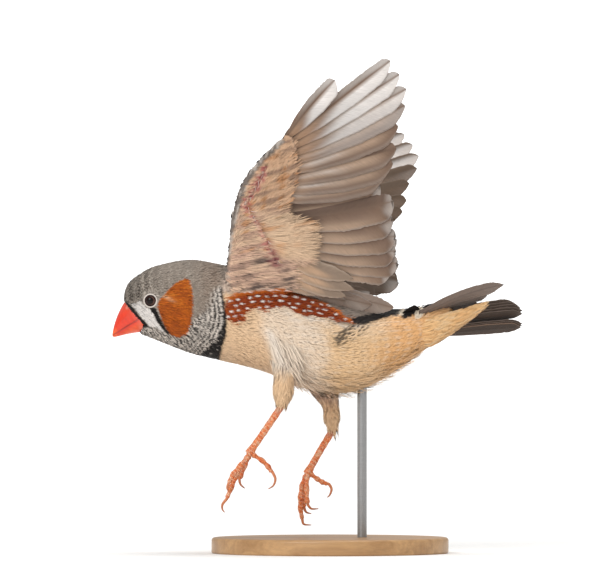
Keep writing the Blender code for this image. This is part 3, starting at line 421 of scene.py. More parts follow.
wingPaint = {
    **palette(
        cream="e3c2a1", pinkBuff="bd9984", orange="c28450", pink="b35a5e", pinkDark="74283a", pinkLight="e6bda8",
        hand="d3ab8a", handDark="8c7061", downDark="5f524c", edgeGrey="7c726b", edgeWhite="b9aea4", upper="7b6d62",
        upperDark="55493f", upperEdge="9d8f82",
    ),
    "bareLine": [(-0.2, 22.8), (3.9, 16.2), (7.9, 7.2)],
    "handLine": [(5.1, 32.7), (3.0, 27.6), (0.0, 22.6)],
    "wrist": 22.7,  # how far up the wing the hand's line begins
}


def bareDistance(u, v):
    return np.minimum(*(lineDistance(u, v, wingPaint[line]) for line in ("bareLine", "handLine")))


def bareWidth(v):
    # the bare strip is widest at the elbow and over the wrist
    return np.interp(
        v, [6, 8, 11, 14, 20, 22.5, 25, 28, 31, 33], [0.9, 0.85, 0.55, 0.2, 0.2, 0.6, 0.3, 0.75, 0.7, 0.1],
    )


def leadingEdge(v):
    return np.interp(
        v, [-3.4, 2.6, 12.4, 19.6, 24, 27.8, 31.8, 36.5, 40.3], [-3.6, -5.2, -3.9, -3.3, -2.2, -0.9, 1.5, 5.6, 9.8],
    )


def wingColours(u, v, under):
    w = wingPaint
    points = np.stack([u, v, np.zeros_like(u)], -1)
    fine, broad = wobble(points * (0.6, 1.3, 1), 0.6, 21), wobble(points, 2.6, 22)
    edge = u - leadingEdge(v)
    if under:
        streaks = wobble(points * (0.3, 1.0, 1), 0.55, 27)
        colour = mixed(w["cream"], w["pinkBuff"], np.clip(0.6 + 0.3 * broad + 0.5 * streaks, 0, 1))
        fan = ease(4, 6.5, u) * ease(7.5, 9.5, v) * fade(19.5, 21.5, v)
        colour = layered(
            colour,
            (w["cream"], 0.8 * fan),
            (w["pinkLight"] * 0.88, 0.4 * fade(9, 14, v) * (1 - fan)),
        )
        hand = mixed(w["hand"], w["handDark"], 0.75 * ease(-0.1, 0.7, streaks + 0.5 * broad))
        colour = mixed(colour, hand, ease(20, 23, v) * (1 - 0.35 * ease(0.3, 0.9, -streaks)))
        orange = ease(0.35, 0.8, wobble(points * (0.5, 1, 1), 1.3, 23)) * ease(8, 12, v) * fade(38, 41, v)
        colour = mixed(colour, w["orange"], 0.6 * orange)
        dark = (
            np.exp(-(((u - 5.0) / 3.0) ** 2 + ((v - 7.6) / 1.3) ** 2))
            + 0.7 * np.exp(-(((u - 0.5) / 2.0) ** 2 + ((v - 4.6) / 0.6) ** 2))
            + np.exp(-(((u - 11.2) / 1.6) ** 2 + ((v - 3.2) / 1.7) ** 2))
        )
        dark = dark + 0.6 * hump(v, 0.5, 1.4) + 0.35 * fade(6, 9, v) * ease(0.2, 0.7, broad)
        colour = mixed(colour, w["downDark"], 0.95 * np.clip(1.3 * dark, 0, 1) * ease(-0.4, 0.2, streaks))
        patchy = wobble(points, 0.8, 28)
        bare, wide = bareDistance(u, v), bareWidth(v)
        skin = mixed(
            w["pink"], w["pinkLight"], ease(-0.3, 0.5, fine + patchy + 0.6 * ease(12, 16, v) * fade(20, 22, v)),
        )
        skin = mixed(skin, w["pinkDark"], 0.75 * fade(8.5, 12, v + patchy))
        colour = mixed(colour, skin, 0.75 * fade(0.5 * wide, 1.5 * wide + 0.5, bare + 0.5 * patchy))
        rim = fade(0.6, 1.7, edge + 0.3 * fine + 0.5 - 0.8 * ease(12, 20, v))
        fleck = mixed(w["edgeGrey"], w["edgeWhite"], ease(0.0, 0.7, wobble(points * (1, 0.4, 1), 0.8, 25)))
        colour = mixed(colour, fleck, rim)
    else:
        colour = layered(
            w["upper"],
            (w["upperDark"], 0.35 + 0.3 * fine),
            (w["upperEdge"], 0.5 * ease(0.3, 0.9, wobble(points, 1.1, 26))),
            (w["edgeGrey"], fade(0.8, 2.0, edge)),
        )
    return np.clip(colour, 0.004, 0.98)


def thighColours(points):
    x, y, z = points.T
    m = markings
    fine = wobble(points * (1.6, 1.6, 0.3), 0.5, 31)
    near = y < 0
    low = fade(43.0, 48.0, np.where(near, z, z + 8) + 0.8 * fine)
    # on the far thigh the dark strands spread all over and its top is painted a darker brown: painted shade on the
    # thigh that lies on the shaded far side
    dark = ease(0.15, 0.6, fine) * np.where(near, ease(-14.2, -12.4, x) * ease(43.5, 45, z), 0.8)
    top = layered(
        m["thighTop"],
        (m["thighFar"], np.where(near, 0.0, 0.85)),
        (m["thighDark"], 0.75 * dark),
        (m["thighTop"], np.where(near, 0.0, 0.4) * ease(0.3, 0.8, -fine)),
    )
    colour = mixed(top, m["thighLow"] * (1 + 0.1 * fine)[:, None], low)
    return np.clip(colour, 0.004, 0.98)


def feed(tree, made, inputs):
    # links or sets a node's sockets
    for key, value in inputs.items():
        if isinstance(value, bpy.types.NodeSocket):
            tree.links.new(value, made.inputs[key])
        else:
            made.inputs[key].default_value = value
    return made


def node(tree, kind, inputs=None, **settings):
    made = tree.nodes.new(kind)
    for key, value in settings.items():
        setattr(made, key, value)
    return feed(tree, made, inputs or {})


def placed(tree, group, **inputs):
    inputs = {key.replace("_", " "): value for key, value in inputs.items()}
    return node(tree, "ShaderNodeGroup", inputs, node_tree=group).outputs


def math2(tree, operation, a, b=0.0):
    return node(tree, "ShaderNodeMath", {0: a, 1: b}, operation=operation).outputs[0]


def newGroup(name, inputs, outputs):
    # inputs as name, kind and value, outputs as name and kind
    group = bpy.data.node_groups.new(name, "ShaderNodeTree")
    for title, kind, *value in inputs + outputs:
        way = "INPUT" if value else "OUTPUT"
        made = group.interface.new_socket(name=title, in_out=way, socket_type=f"NodeSocket{kind}")
        if value and value[0] is not None:
            made.default_value = value[0]
    return group, group.nodes.new("NodeGroupInput").outputs, group.nodes.new("NodeGroupOutput").inputs


def noiseOut(group, start, end, place, scale, detail):
    # a shade around 1 and a height, both from one noise
    noise = node(group, "ShaderNodeTexNoise", {"Vector": place, "Scale": scale, "Detail": detail, "Roughness": 0.6})
    swing = math2(group, "MULTIPLY", math2(group, "SUBTRACT", noise.outputs[0], 0.5), start["Contrast"])
    group.links.new(math2(group, "ADD", math2(group, "MULTIPLY", swing, 4.0), 1.0), end["Shade"])
    group.links.new(noise.outputs[0], end["Height"])


def makeBarbs():
    # the fine hair-like barbs of a feather, from the map "vane": across and along it in millimetres
    group, start, end = newGroup(
        "featherBarbs",
        [
            ("Vane", "Vector", None), ("Barb Width", "Float", 0.25), ("Slant", "Float", 1.0),
            ("Contrast", "Float", 0.25),
        ],
        [("Shade", "Float"), ("Height", "Float")],
    )
    split = node(group, "ShaderNodeSeparateXYZ", {0: start["Vane"]}).outputs
    side = math2(group, "ABSOLUTE", split[0])
    barb = math2(group, "SUBTRACT", split[1], math2(group, "MULTIPLY", side, start["Slant"]))
    place = node(group, "ShaderNodeCombineXYZ", {
        0: math2(group, "DIVIDE", barb, start["Barb Width"]), 1: math2(group, "MULTIPLY", side, 0.5),
        2: math2(group, "SIGN", split[0]),
    })
    noiseOut(group, start, end, place.outputs[0], 1.0, 3.0)
    return group


def makeMottle():
    # broad and fine unevenness of colour, with a height for bump
    group, start, end = newGroup(
        "fineMottle", [("Place", "Vector", None), ("Scale", "Float", 800.0), ("Contrast", "Float", 0.2)],
        [("Shade", "Float"), ("Height", "Float")],
    )
    noiseOut(group, start, end, start["Place"], start["Scale"], 4.0)
    return group


def makeTinted():
    # a colour times a shade
    group, start, end = newGroup(
        "shadedColour", [("Colour", "Color", None), ("Shade", "Float", 1.0)], [("Colour", "Color")],
    )
    times = node(group, "ShaderNodeVectorMath", {0: start["Colour"], 1: start["Shade"]}, operation="MULTIPLY")
    group.links.new(times.outputs[0], end["Colour"])
    return group


barbsGroup, mottleGroup, tintedGroup = makeBarbs(), makeMottle(), makeTinted()


def newMaterial(name):
    made = bpy.data.materials.new(name)
    made.use_nodes = True
    return made, made.node_tree


def plumageColour(tree):
    return node(tree, "ShaderNodeVertexColor", layer_name="plumage").outputs["Color"]


def ownPlace(tree):
    return node(tree, "ShaderNodeTexCoord").outputs["Object"]


def roughFrom(tree, height, middle, swing=0.2):
    return math2(tree, "ADD", math2(tree, "MULTIPLY", height, swing), middle - swing / 2)


def finishMaterial(tree, colour, shade, height, bump, rough, distance=0.0002, **plain):
    # shaded colour, bump and roughness, and the plain values on the shader's own sockets
    tinted = placed(tree, tintedGroup, Colour=colour, Shade=shade)[0]
    normal = node(tree, "ShaderNodeBump", {"Height": height, "Strength": bump, "Distance": distance}).outputs[0]
    plain = {key.replace("_", " "): value for key, value in plain.items()}
    feed(tree, tree.nodes["Principled BSDF"], {"Base Color": tinted, "Normal": normal, "Roughness": rough, **plain})
    return tinted


def featherMaterial(name, roughness, barb, slant, contrast, bump, translucence, sheen=0.0):
    made, tree = newMaterial(name)
    vane = node(tree, "ShaderNodeUVMap", uv_map="vane").outputs[0]
    barbs = placed(tree, barbsGroup, Vane=vane, Barb_Width=barb, Slant=slant, Contrast=contrast)
    rough = roughFrom(tree, barbs["Height"], roughness)
    tinted = finishMaterial(
        tree, plumageColour(tree), barbs["Shade"], barbs["Height"], bump, rough, Specular_IOR_Level=0.25,
        Sheen_Weight=sheen,
    )
    through = node(tree, "ShaderNodeBsdfTranslucent", {"Color": tinted})
    whole = tree.nodes["Principled BSDF"].outputs[0]
    mix = node(tree, "ShaderNodeMixShader", {0: translucence, 1: whole, 2: through.outputs[0]})
    tree.links.new(mix.outputs[0], tree.nodes["Material Output"].inputs["Surface"])
    return made


def mottledMaterial(name, roughness, scale, contrast, bump, **plain):
    made, tree = newMaterial(name)
    mottle = placed(tree, mottleGroup, Place=ownPlace(tree), Scale=scale, Contrast=contrast)
    rough = roughFrom(tree, mottle["Height"], roughness)
    finishMaterial(tree, plumageColour(tree), mottle["Shade"], mottle["Height"], bump, rough, **plain)
    return made


bodyPlumage = featherMaterial("bodyPlumage", 0.72, 0.22, 2.6, 0.2, 0.12, 0.12, 0.1)
covertPlumage = featherMaterial("covertPlumage", 0.66, 0.2, 1.2, 0.2, 0.25, 0.18)
flightPlumage = featherMaterial("flightPlumage", 0.55, 0.24, 0.9, 0.16, 0.5, 0.4)
tailPlumage = featherMaterial("tailPlumage", 0.5, 0.24, 0.9, 0.18, 0.5, 0.15)
print("materials for feathers made")


def meshFrom(name, points, *faces):
    # a mesh in metres from points in millimetres and faces as arrays of equal length rows
    mesh = bpy.data.meshes.new(name)
    mesh.vertices.add(len(points))
    mesh.vertices.foreach_set("co", (np.asarray(points) * mm).astype(np.float32).ravel())
    loops = np.concatenate([np.asarray(f, np.int32).ravel() for f in faces])
    sizes = np.concatenate([np.full(len(f), np.shape(f)[1], np.int32) for f in faces])
    mesh.loops.add(len(loops))
    mesh.loops.foreach_set("vertex_index", loops)
    mesh.polygons.add(len(sizes))
    mesh.polygons.foreach_set("loop_start", np.concatenate([[0], np.cumsum(sizes)[:-1]]).astype(np.int32))
    mesh.update(calc_edges=True)
    mesh.polygons.foreach_set("use_smooth", np.full(len(sizes), True))
    return mesh, loops


def outwardMesh(name, points, *faces, weld=False):
    # the same, with its faces turned outward
    mesh, _ = meshFrom(name, points, *faces)
    bm = bmesh.new()
    bm.from_mesh(mesh)
    if weld:
        bmesh.ops.remove_doubles(bm, verts=bm.verts, dist=0.00001)
    bmesh.ops.recalc_face_normals(bm, faces=bm.faces)
    bm.to_mesh(mesh)
    bm.free()
    return mesh


def readAll(items, name, width=1, kind=np.int32):
    flat = np.zeros(len(items) * width, kind)
    items.foreach_get(name, flat)
    return flat.reshape(-1, width) if width > 1 else flat


def readPoints(mesh):
    return readAll(mesh.vertices, "co", 3, np.float32) / mm


def colourMesh(mesh, colours):
    layer = mesh.color_attributes.new("plumage", "FLOAT_COLOR", "POINT")
    full = np.ones((len(colours), 4), np.float32)
    full[:, :3] = colours
    layer.data.foreach_set("color", full.ravel())


def mapMesh(mesh, name, loops, flat):
    mesh.uv_layers.new(name=name).data.foreach_set("uv", flat[loops].astype(np.float32).ravel())


def putPiece(name, mesh, material, slot, *nodes):
    made = bpy.data.objects.new(name, mesh)
    bird.objects.link(made)
    mesh.materials.append(material)
    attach(made, "root")
    if nodes:
        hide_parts(*nodes)
    return made


def gridFaces(rows, columns, closed=False):
    # quads over a grid of points that are numbered row by row
    i, j = np.meshgrid(np.arange(rows - 1), np.arange(columns if closed else columns - 1), indexing="ij")
    after = (j + 1) % columns
    corners = [i * columns + j, i * columns + after, (i + 1) * columns + after, (i + 1) * columns + j]
    return np.stack(corners, -1).reshape(-1, 4)


def closedRings(rings, first=None, last=None):
    # points, quads and triangles of a shell over rings, with a pole at each end
    count, sides = rings.shape[:2]
    poles = [rings[0].mean(0) if first is None else first, rings[-1].mean(0) if last is None else last]
    k, n = np.arange(sides), count * sides
    after = (k + 1) % sides
    caps = [(after, k, np.full(sides, n)), (n - sides + k, n - sides + after, np.full(sides, n + 1))]
    caps = np.concatenate([np.stack(cap, -1) for cap in caps])
    return np.concatenate([rings.reshape(-1, 3), poles]), gridFaces(count, sides, True), caps


def joined(parts):
    # several shells as one
    starts = np.cumsum([0] + [len(points) for points, _, _ in parts])
    moved = [(points, quads + start, caps + start) for (points, quads, caps), start in zip(parts, starts)]
    return [np.concatenate(kind) for kind in zip(*moved)]


def crossAxes(along):
    # two directions square to a path, the first as level across the bird as it can be
    across = unit(np.array((0, 1.0, 0)) - along * along[:, 1:2])
    return across, np.cross(along, across)


def tubeThrough(path, radii, sides, flat=1.0):
    # a closed tube through a path
    across, other = crossAxes(unit(np.gradient(path, axis=0)))
    turn = turns(sides)[None, :, None]
    rings = across[:, None] * np.cos(turn) * flat + other[:, None] * np.sin(turn)
    return closedRings(path[:, None] + radii[:, None, None] * rings, path[0], path[-1])


# Skin: one closed surface under the coat of head, body, thighs, wings and bare legs.
skinSizes = {
    "rows": 130, "sides": 80, "voxel": 0.4, "smoothing": 8, "legVoxel": 0.13, "legSmoothing": 2, "thighDepth": 0.7,
}
legs = {
    "left": {
        "thigh": [(-10.6, -6.6, 54.0, 4.6), (-11.2, -8.2, 47.6, 3.6), (-11.6, -8.6, 43.8, 2.6),
                  (-11.9, -8.8, 40.4, 2.7), (-12.2, -8.9, 37.6, 1.5)],
        "shank": [(-12.3, -8.9, 38.4), (-12.6, -8.9, 36.9), (-16.4, -9.0, 31.2), (-20.5, -9.1, 25.3)],
        "toes": {
            "hallux": [
                (-19.8, -9.1, 25.2), (-19.2, -9.1, 24.9), (-17.2, -8.9, 23.6), (-15.6, -8.8, 22.0),
                (-14.8, -8.8, 20.7),
            ],
            "inner": [
                (-20.2, -8.4, 25.2), (-20.6, -7.6, 24.4), (-21.5, -6.9, 22.3), (-22.6, -6.6, 19.6),
                (-22.85, -6.5, 19.0),
            ],
            "middle": [(-20.5, -9.1, 25.2), (-21.0, -9.2, 24.3), (-22.3, -9.3, 22.3), (-23.7, -9.4, 19.6),
                       (-24.9, -9.4, 16.8), (-26.0, -9.4, 14.2)],
            "outer": [
                (-20.4, -9.9, 25.1), (-21.0, -10.9, 24.3), (-22.6, -11.6, 22.4), (-24.4, -12.0, 20.2),
                (-25.5, -12.1, 18.1),
            ],
        },
        "claws": {
            "hallux": [
                (-15.0, -8.8, 21.2), (-14.4, -8.8, 20.4), (-13.8, -8.8, 18.9), (-14.3, -8.8, 17.3),
                (-15.6, -8.8, 16.4),
            ],
            "inner": [(-22.8, -6.5, 19.4), (-22.9, -6.5, 18.9), (-22.6, -6.4, 17.5), (-21.5, -6.4, 16.5)],
            "middle": [
                (-25.9, -9.4, 14.5), (-26.1, -9.4, 13.9), (-27.1, -9.4, 12.6), (-27.2, -9.4, 11.4),
                (-26.6, -9.4, 10.5),
            ],
            "outer": [(-25.3, -12.1, 18.4), (-25.6, -12.1, 17.8), (-25.9, -12.1, 16.6), (-25.2, -12.1, 15.5)],
        },
    },
    "right": {
        "thigh": [(-3.4, 5.0, 48.6, 5.2), (-1.8, 6.4, 42.8, 4.0), (0.1, 7.4, 37.6, 2.2), (0.5, 7.7, 33.8, 2.2),
                  (0.7, 7.8, 31.8, 1.5)],
        "shank": [(0.7, 7.8, 32.6), (0.6, 7.8, 31.0), (-2.4, 8.0, 25.9), (-5.8, 8.2, 19.9)],
        "toes": {
            "hallux": [
                (-5.3, 8.2, 20.0), (-4.7, 8.2, 19.7), (-3.2, 8.3, 18.6), (-1.9, 8.4, 17.8), (-0.7, 8.4, 17.35),
            ],
            "inner": [
                (-5.8, 7.5, 19.8), (-5.8, 6.7, 19.0), (-5.9, 6.2, 16.0), (-5.8, 6.0, 12.9), (-5.7, 6.0, 12.3),
            ],
            "middle": [(-5.9, 8.2, 19.8), (-6.3, 8.3, 19.1), (-7.1, 8.4, 16.9), (-7.5, 8.5, 14.0),
                       (-7.5, 8.6, 11.2), (-7.05, 8.6, 8.5)],
            "outer": [
                (-5.8, 9.1, 19.8), (-6.2, 10.0, 19.1), (-6.8, 10.9, 16.8), (-6.9, 11.2, 14.0), (-6.55, 11.3, 11.4),
            ],
        },
        "claws": {
            "hallux": [(-0.9, 8.4, 17.4), (-0.2, 8.4, 17.2), (0.4, 8.4, 16.0), (0.0, 8.4, 14.6), (-0.7, 8.4, 13.9)],
            "inner": [(-5.75, 6.0, 12.7), (-5.6, 6.0, 12.1), (-4.7, 6.0, 11.1), (-2.9, 6.0, 11.1)],
            "middle": [(-7.1, 8.6, 8.9), (-7.0, 8.6, 8.2), (-6.6, 8.6, 7.1), (-4.7, 8.6, 6.9)],
            "outer": [(-6.6, 11.3, 11.8), (-6.5, 11.3, 11.1), (-6.0, 11.3, 10.1), (-4.7, 11.3, 9.7)],
        },
    },
}
tailLayout = {"root": (9.6, 0.0, 55.7), "rise": 11.0, "roll": 36.0}


def coatDepth(x):
    return np.interp(x, [-53, -50, -40, -30, -22, 16, 31], [0.15, 0.4, 0.5, 0.7, 1.0, 1.0, 0.7])


def remeshed(name, parts, voxel, smoothing):
    # joins closed shells into one even surface
    mesh, _ = meshFrom(name, *joined(parts))
    shape = bpy.data.objects.new(name, mesh)
    bird.objects.link(shape)
    join = shape.modifiers.new("join", "REMESH")
    join.mode, join.voxel_size, join.adaptivity = "VOXEL", voxel * mm, 0.0
    relax = shape.modifiers.new("relax", "SMOOTH")
    relax.factor, relax.iterations = 0.5, smoothing
    bpy.context.view_layer.update()
    done = bpy.data.meshes.new_from_object(shape.evaluated_get(bpy.context.evaluated_depsgraph_get()))
    bpy.data.objects.remove(shape)
    bpy.data.meshes.remove(mesh)
    return done


def plateShell(wing, part):
    outline = np.array(flesh[part])
    outline = smoothPath(np.concatenate([outline, outline[:1]]), len(outline) * 6)[:-1]
    centre, half = outline.mean(0), flesh["halfThickness"][part]
    rings = []
    for share, level in flesh["section"]:
        flat = centre + (outline - centre) * share * flesh["inset"]
        rings.append(wingPoint(wing, *flat.T, level * half))
    return closedRings(np.array(rings))


def buildSkin():
    rows, sides = skinSizes["rows"], skinSizes["sides"]
    gridT, gridA = (g.ravel() for g in np.meshgrid(np.linspace(0.06, 12, rows), turns(sides), indexing="ij"))
    rings = bodyPoint(gridT, gridA, -coatDepth(splineAt(body["stations"], gridT)[:, 0]))
    # the head is cut square behind the bill
    over = np.maximum((rings - body["billBrow"]) @ billAway + 0.15 + np.maximum(billEdge(rings), 0), 0)
    rings = rings - over[:, None] * billAway
    parts = [closedRings(rings.reshape(rows, sides, 3))]
    for leg in legs.values():
        path = smoothPath(leg["thigh"], 30)
        parts.append(tubeThrough(path[:, :3], np.maximum(path[:, 3] - skinSizes["thighDepth"], 0.9), 28, 0.92))
    for wing in wings.values():
        parts += [plateShell(wing, part) for part in wingParts]
    shells = [remeshed("trunk", parts, skinSizes["voxel"], skinSizes["smoothing"])]
    for leg in legs.values():
        s = np.linspace(0, 1, 41)
        radii = 0.88 + 0.3 * hump(s, 0.04, 0.12) + 0.3 * hump(s, 1, 0.09)
        radii = radii + 0.03 * np.sign(np.sin(s * 6.28 * 9)) * (s > 0.1)  # the wide scales down the front
        parts = [tubeThrough(smoothPath(leg["shank"], 40), radii, 24, 0.86)]
        for toe in leg["toes"].values():
            steps = 10 * (len(toe) - 1)
            s = np.linspace(0, len(toe) - 1, steps + 1)
            radii = 0.62 + 0.11 * np.cos(2 * math.pi * s) + 0.03 * np.sign(np.sin(s * 6.28 * 3.5))
            radii[-4:] *= np.linspace(0.98, 0.72, 4)
            parts.append(tubeThrough(smoothPath(toe, steps), radii, 16, 0.9))
        shells.append(remeshed("bareLeg", parts, skinSizes["legVoxel"], skinSizes["legSmoothing"]))
    bm = bmesh.new()
    for shell in shells:
        bm.from_mesh(shell)
    for face in bm.faces:
        face.smooth = True
    skin = bpy.data.meshes.new("skin")
    bm.to_mesh(skin)
    bm.free()
    return skin, len(shells[0].polygons)


skinMesh, trunkFaces = buildSkin()
skinPoints, skinStarts = readPoints(skinMesh), readAll(skinMesh.polygons, "loop_start")
legPaint = {
    **palette(salmon="f28b52", pale="fbd0ae", red="da5424", pink="e08a74"),
    "ankles": ((-12.5, -8.9, 37.2), (0.6, 7.8, 31.2)),
}


def skinColours(points):
    colours = bodyColours(points)
    x, y, z = points.T
    for wing in wings.values():
        u, v, n = wingCoordinates(wing, points)
        inWing = (v > 4) & (np.abs(n) < 2.2) & (z > 64)
        for under, pick in ((True, inWing & (n > 0)), (False, inWing & (n <= 0))):
            colours[pick] = wingColours(u[pick], v[pick], under)
    low = z < np.interp(x, denseRows[:, 0], denseRows[:, 2]) + 0.5
    for leg in legs.values():
        path = np.array(leg["thigh"])
        pick = low & (np.abs(x - path[:, 0].mean()) < 8) & (np.sign(y) == np.sign(path[0, 1]))
        colours[pick] = thighColours(points[pick])
    return colours


def legColours(points):
    x, y, z = points.T
    along = np.where(y < 0, x * -0.58 + z * -0.81, x * -0.5 + z * -0.87)
    joint = np.min([np.linalg.norm(points - ankle, axis=1) for ankle in legPaint["ankles"]], axis=0)
    return layered(
        legPaint["salmon"],
        (legPaint["pale"], 0.6 * ease(-0.1, 0.9, wobble(points, 0.8, 41))),
        (legPaint["red"], 0.55 * ease(0.1, 0.9, wobble(points, 0.45, 42))),
        (legPaint["pale"], 0.7 * ease(0.86, 0.97, np.cos(along * 6.28 / 0.95 + 0.8 * wobble(points, 1.5, 43)))),
        (legPaint["pink"], 0.6 * fade(1.2, 3.0, joint)),
    )


def makeLegMaterial():
    made, tree = newMaterial("bareLegSkin")
    place = ownPlace(tree)
    scales = node(tree, "ShaderNodeTexVoronoi", {"Vector": place, "Scale": 2300.0}, feature="DISTANCE_TO_EDGE")
    plate = node(tree, "ShaderNodeMapRange", {0: scales.outputs[0], 1: 0.0, 2: 0.22, 3: 0.0, 4: 1.0}).outputs[0]
    mottle = placed(tree, mottleGroup, Place=place, Scale=1400.0, Contrast=0.14)
    shade = math2(tree, "MULTIPLY", mottle["Shade"], math2(tree, "ADD", math2(tree, "MULTIPLY", plate, 0.3), 0.75))
    finishMaterial(
        tree, plumageColour(tree), shade, math2(tree, "ADD", plate, mottle["Height"]), 0.6,
        math2(tree, "SUBTRACT", 0.62, math2(tree, "MULTIPLY", plate, 0.2)),
        Subsurface_Weight=0.15, Subsurface_Radius=(0.0006, 0.0003, 0.0002),
    )
    return made


def dressSkin():
    colours = skinColours(skinPoints) * 0.82
    bare = np.unique(readAll(skinMesh.loops, "vertex_index")[skinStarts[trunkFaces]:])
    colours[bare] = legColours(skinPoints[bare])
    colourMesh(skinMesh, colours)
    underCoat = mottledMaterial("underCoat", 0.85, 900.0, 0.14, 0.5, Specular_IOR_Level=0.2)
    made = putPiece(
        "skin", skinMesh, underCoat, "buff_plumage", "head", "neck", "torso", "rump", "thigh_left", "thigh_right",
        *[f"shank_{s}" for s in legs], *[f"toe_{s}_{t}" for s in legs for t in legs[s]["toes"]],
        *[f"wing_{s}_{p}" for s in wings for p in wingParts],
    )
    skinMesh.materials.append(makeLegMaterial())
    picks = np.zeros(len(skinStarts), np.int32)
    picks[trunkFaces:] = 1
    skinMesh.polygons.foreach_set("material_index", picks)
    bpy.context.view_layer.objects.active = made
    made.select_set(True)
    skinMesh.uv_layers.new(name="OFBake")
    bpy.ops.object.mode_set(mode="EDIT")
    bpy.ops.mesh.select_all(action="SELECT")
    bpy.ops.uv.smart_project(angle_limit=math.radians(66), island_margin=0.002)
    bpy.ops.object.mode_set(mode="OBJECT")
    made.select_set(False)


dressSkin()
skinTree = BVHTree.FromPolygons([tuple(p) for p in skinPoints], [tuple(p.vertices) for p in skinMesh.polygons])
skinLoops = readAll(skinMesh.uv_layers["OFBake"].data, "uv", 2, np.float32)
print("skin:", len(skinMesh.polygons), "faces")


def skinMap(roots):
    # where each root lies on the skin's unwrap
    starts = skinStarts[np.array([skinTree.find_nearest(Vector(p))[2] for p in roots], int)]
    return (skinLoops[starts] + skinLoops[starts + 2]) / 2


tuftShape = {
    "stations": np.array([0.0, 0.3, 0.68]),  # the rings of a tuft, before its tip
    "widths": np.array([0.45, 1.0, 0.82]),
    "rise": np.array([0.0, 0.45, 0.9, 1.0]),
    "sunk": 0.12,  # how far the root lies under the surface
    "patch": 0.003,
    "camber": 0.1,
    "thickness": 0.025,
    # darker roots, partly the feathers' own darker bases and partly painted shade where tufts overlap; painted
    # shade down the sides and a painted highlight at the tip
    "rootShade": 0.8,
    "edgeShade": 0.95,
    "tipShade": 1.04,
    "brightest": 0.93,
    "softness": 0.35,  # how far the shading leans to each side of a tuft
    "gain": 1.18,  # makes up for the light lost between tufts
}
coatTriangles = {}


def growTufts(
    name, surface, p, q, turn, length, width, low, high, colourOf, material=bodyPlumage, slot="buff_plumage",
    twist=0.12, keep=None, curl=0.0, rootShade=tuftShape["rootShade"],
):
    # thin overlapping tufts rooted at (p, q) of a surface, along its first direction turned by an angle
    turn, length, width, low, high = (np.ones(len(p)) * k for k in (turn, length, width, low, high))
    step = 1e-3
    here = surface(p, q, low)
    stepP, stepQ = (surface(p + step, q, low) - here) / step, (surface(p, q + step, low) - here) / step
    speedP, speedQ = (np.maximum(np.linalg.norm(k, axis=1), 0.05) for k in (stepP, stepQ))
    normal = np.cross(unit(stepP), unit(stepQ))
    out = surface(p, q, low + 0.2) - here
    normal = unit(normal * np.sign(np.sum(normal * out, 1))[:, None])
    level = low[:, None] + (high - low)[:, None] * tuftShape["rise"]
    centres = np.stack([
        surface(p + length * s * np.cos(turn) / speedP, q + length * s * np.sin(turn) / speedQ, level[:, k])
        for k, s in enumerate(np.append(tuftShape["stations"], 1.0))
    ], 1)
    centres[:, 0] -= normal * tuftShape["sunk"]
    if keep is not None:
        pick = keep(centres)
        centres, normal, width, length = centres[pick], normal[pick], width[pick], length[pick]
    count = len(centres)
    across = unit(np.cross(normal, unit(centres[:, -1] - centres[:, 0])))
    lean = chance.normal(0, twist, count)[:, None]
    across = unit(across * np.cos(lean) + normal * np.sin(lean))
    if curl:
        centres[:, -1] += across * (chance.normal(0, curl, count) * length)[:, None]
    rings = []
    for k, wide in enumerate(tuftShape["widths"]):
        half = (width * wide / 2)[:, None]
        drop = normal * half * tuftShape["camber"]
        ridge = centres[:, k] + normal * (tuftShape["thickness"] * (1.4 - 0.5 * k))
        rings += [centres[:, k] - across * half - drop, ridge, centres[:, k] + across * half - drop]
    points = np.stack(rings + [centres[:, -1]], 1)
    flat, per = points.reshape(-1, 3), points.shape[1]
    last = per - 1
    quads = [
        [3 * r + 3 + c, 3 * r + 3 + (c + 1) % 3, 3 * r + (c + 1) % 3, 3 * r + c] for r in range(2) for c in range(3)
    ]
    tris = [[last, 7, 6], [last, 8, 7], [last, 6, 8], [1, 2, 0]]
    base = (np.arange(count) * per)[:, None, None]
    mesh, loops = meshFrom(
        name, flat, (np.array(quads) + base).reshape(-1, 4), (np.array(tris) + base).reshape(-1, 3),
    )
    soft = unit(normal[:, None] + across[:, None] * (np.array([-1, 0, 1]) * tuftShape["softness"])[None, :, None])
    normals = np.concatenate([soft, soft, soft, normal[:, None]], 1).reshape(-1, 3)
    mesh.normals_split_custom_set_from_vertices(normals.astype(np.float32))
    tone = chance.normal(tuftShape["gain"], 0.14 if rootShade < 0.7 else 0.07, count)[:, None, None]
    # darker at the root, partly the feathers' own bases and partly painted shade; painted shade down the sides and
    # a painted highlight at the tip
    edge = tuftShape["edgeShade"]
    shade = np.array([rootShade] * 3 + [edge, 1, edge] + [1] * 3 + [tuftShape["tipShade"]])
    colours = colourOf(flat).reshape(count, per, 3) * tone * shade[None, :, None]
    over = np.maximum(colours.max(axis=2, keepdims=True) / tuftShape["brightest"], 1.0)
    colourMesh(mesh, np.maximum(colours / over, 0.003).reshape(-1, 3))
    sideways = np.array([-1, 0, 1] * 3 + [0.0])
    lengthways = np.append(np.repeat(tuftShape["stations"], 3), 1.0)
    patch = skinMap(centres[:, 0])[:, None] + np.stack([sideways * 0.5, lengthways - 0.5], -1) * tuftShape["patch"]
    mapMesh(mesh, "OFBake", loops, patch.reshape(-1, 2))
    offset = chance.uniform(0, 60, (count, 1))
    vane = np.stack([sideways * width[:, None] / 2 + 0 * offset, lengthways * length[:, None] + offset], -1)
    mapMesh(mesh, "vane", loops, vane.reshape(-1, 2))
    putPiece(name, mesh, material, slot)
    coatTriangles[name] = count * 16


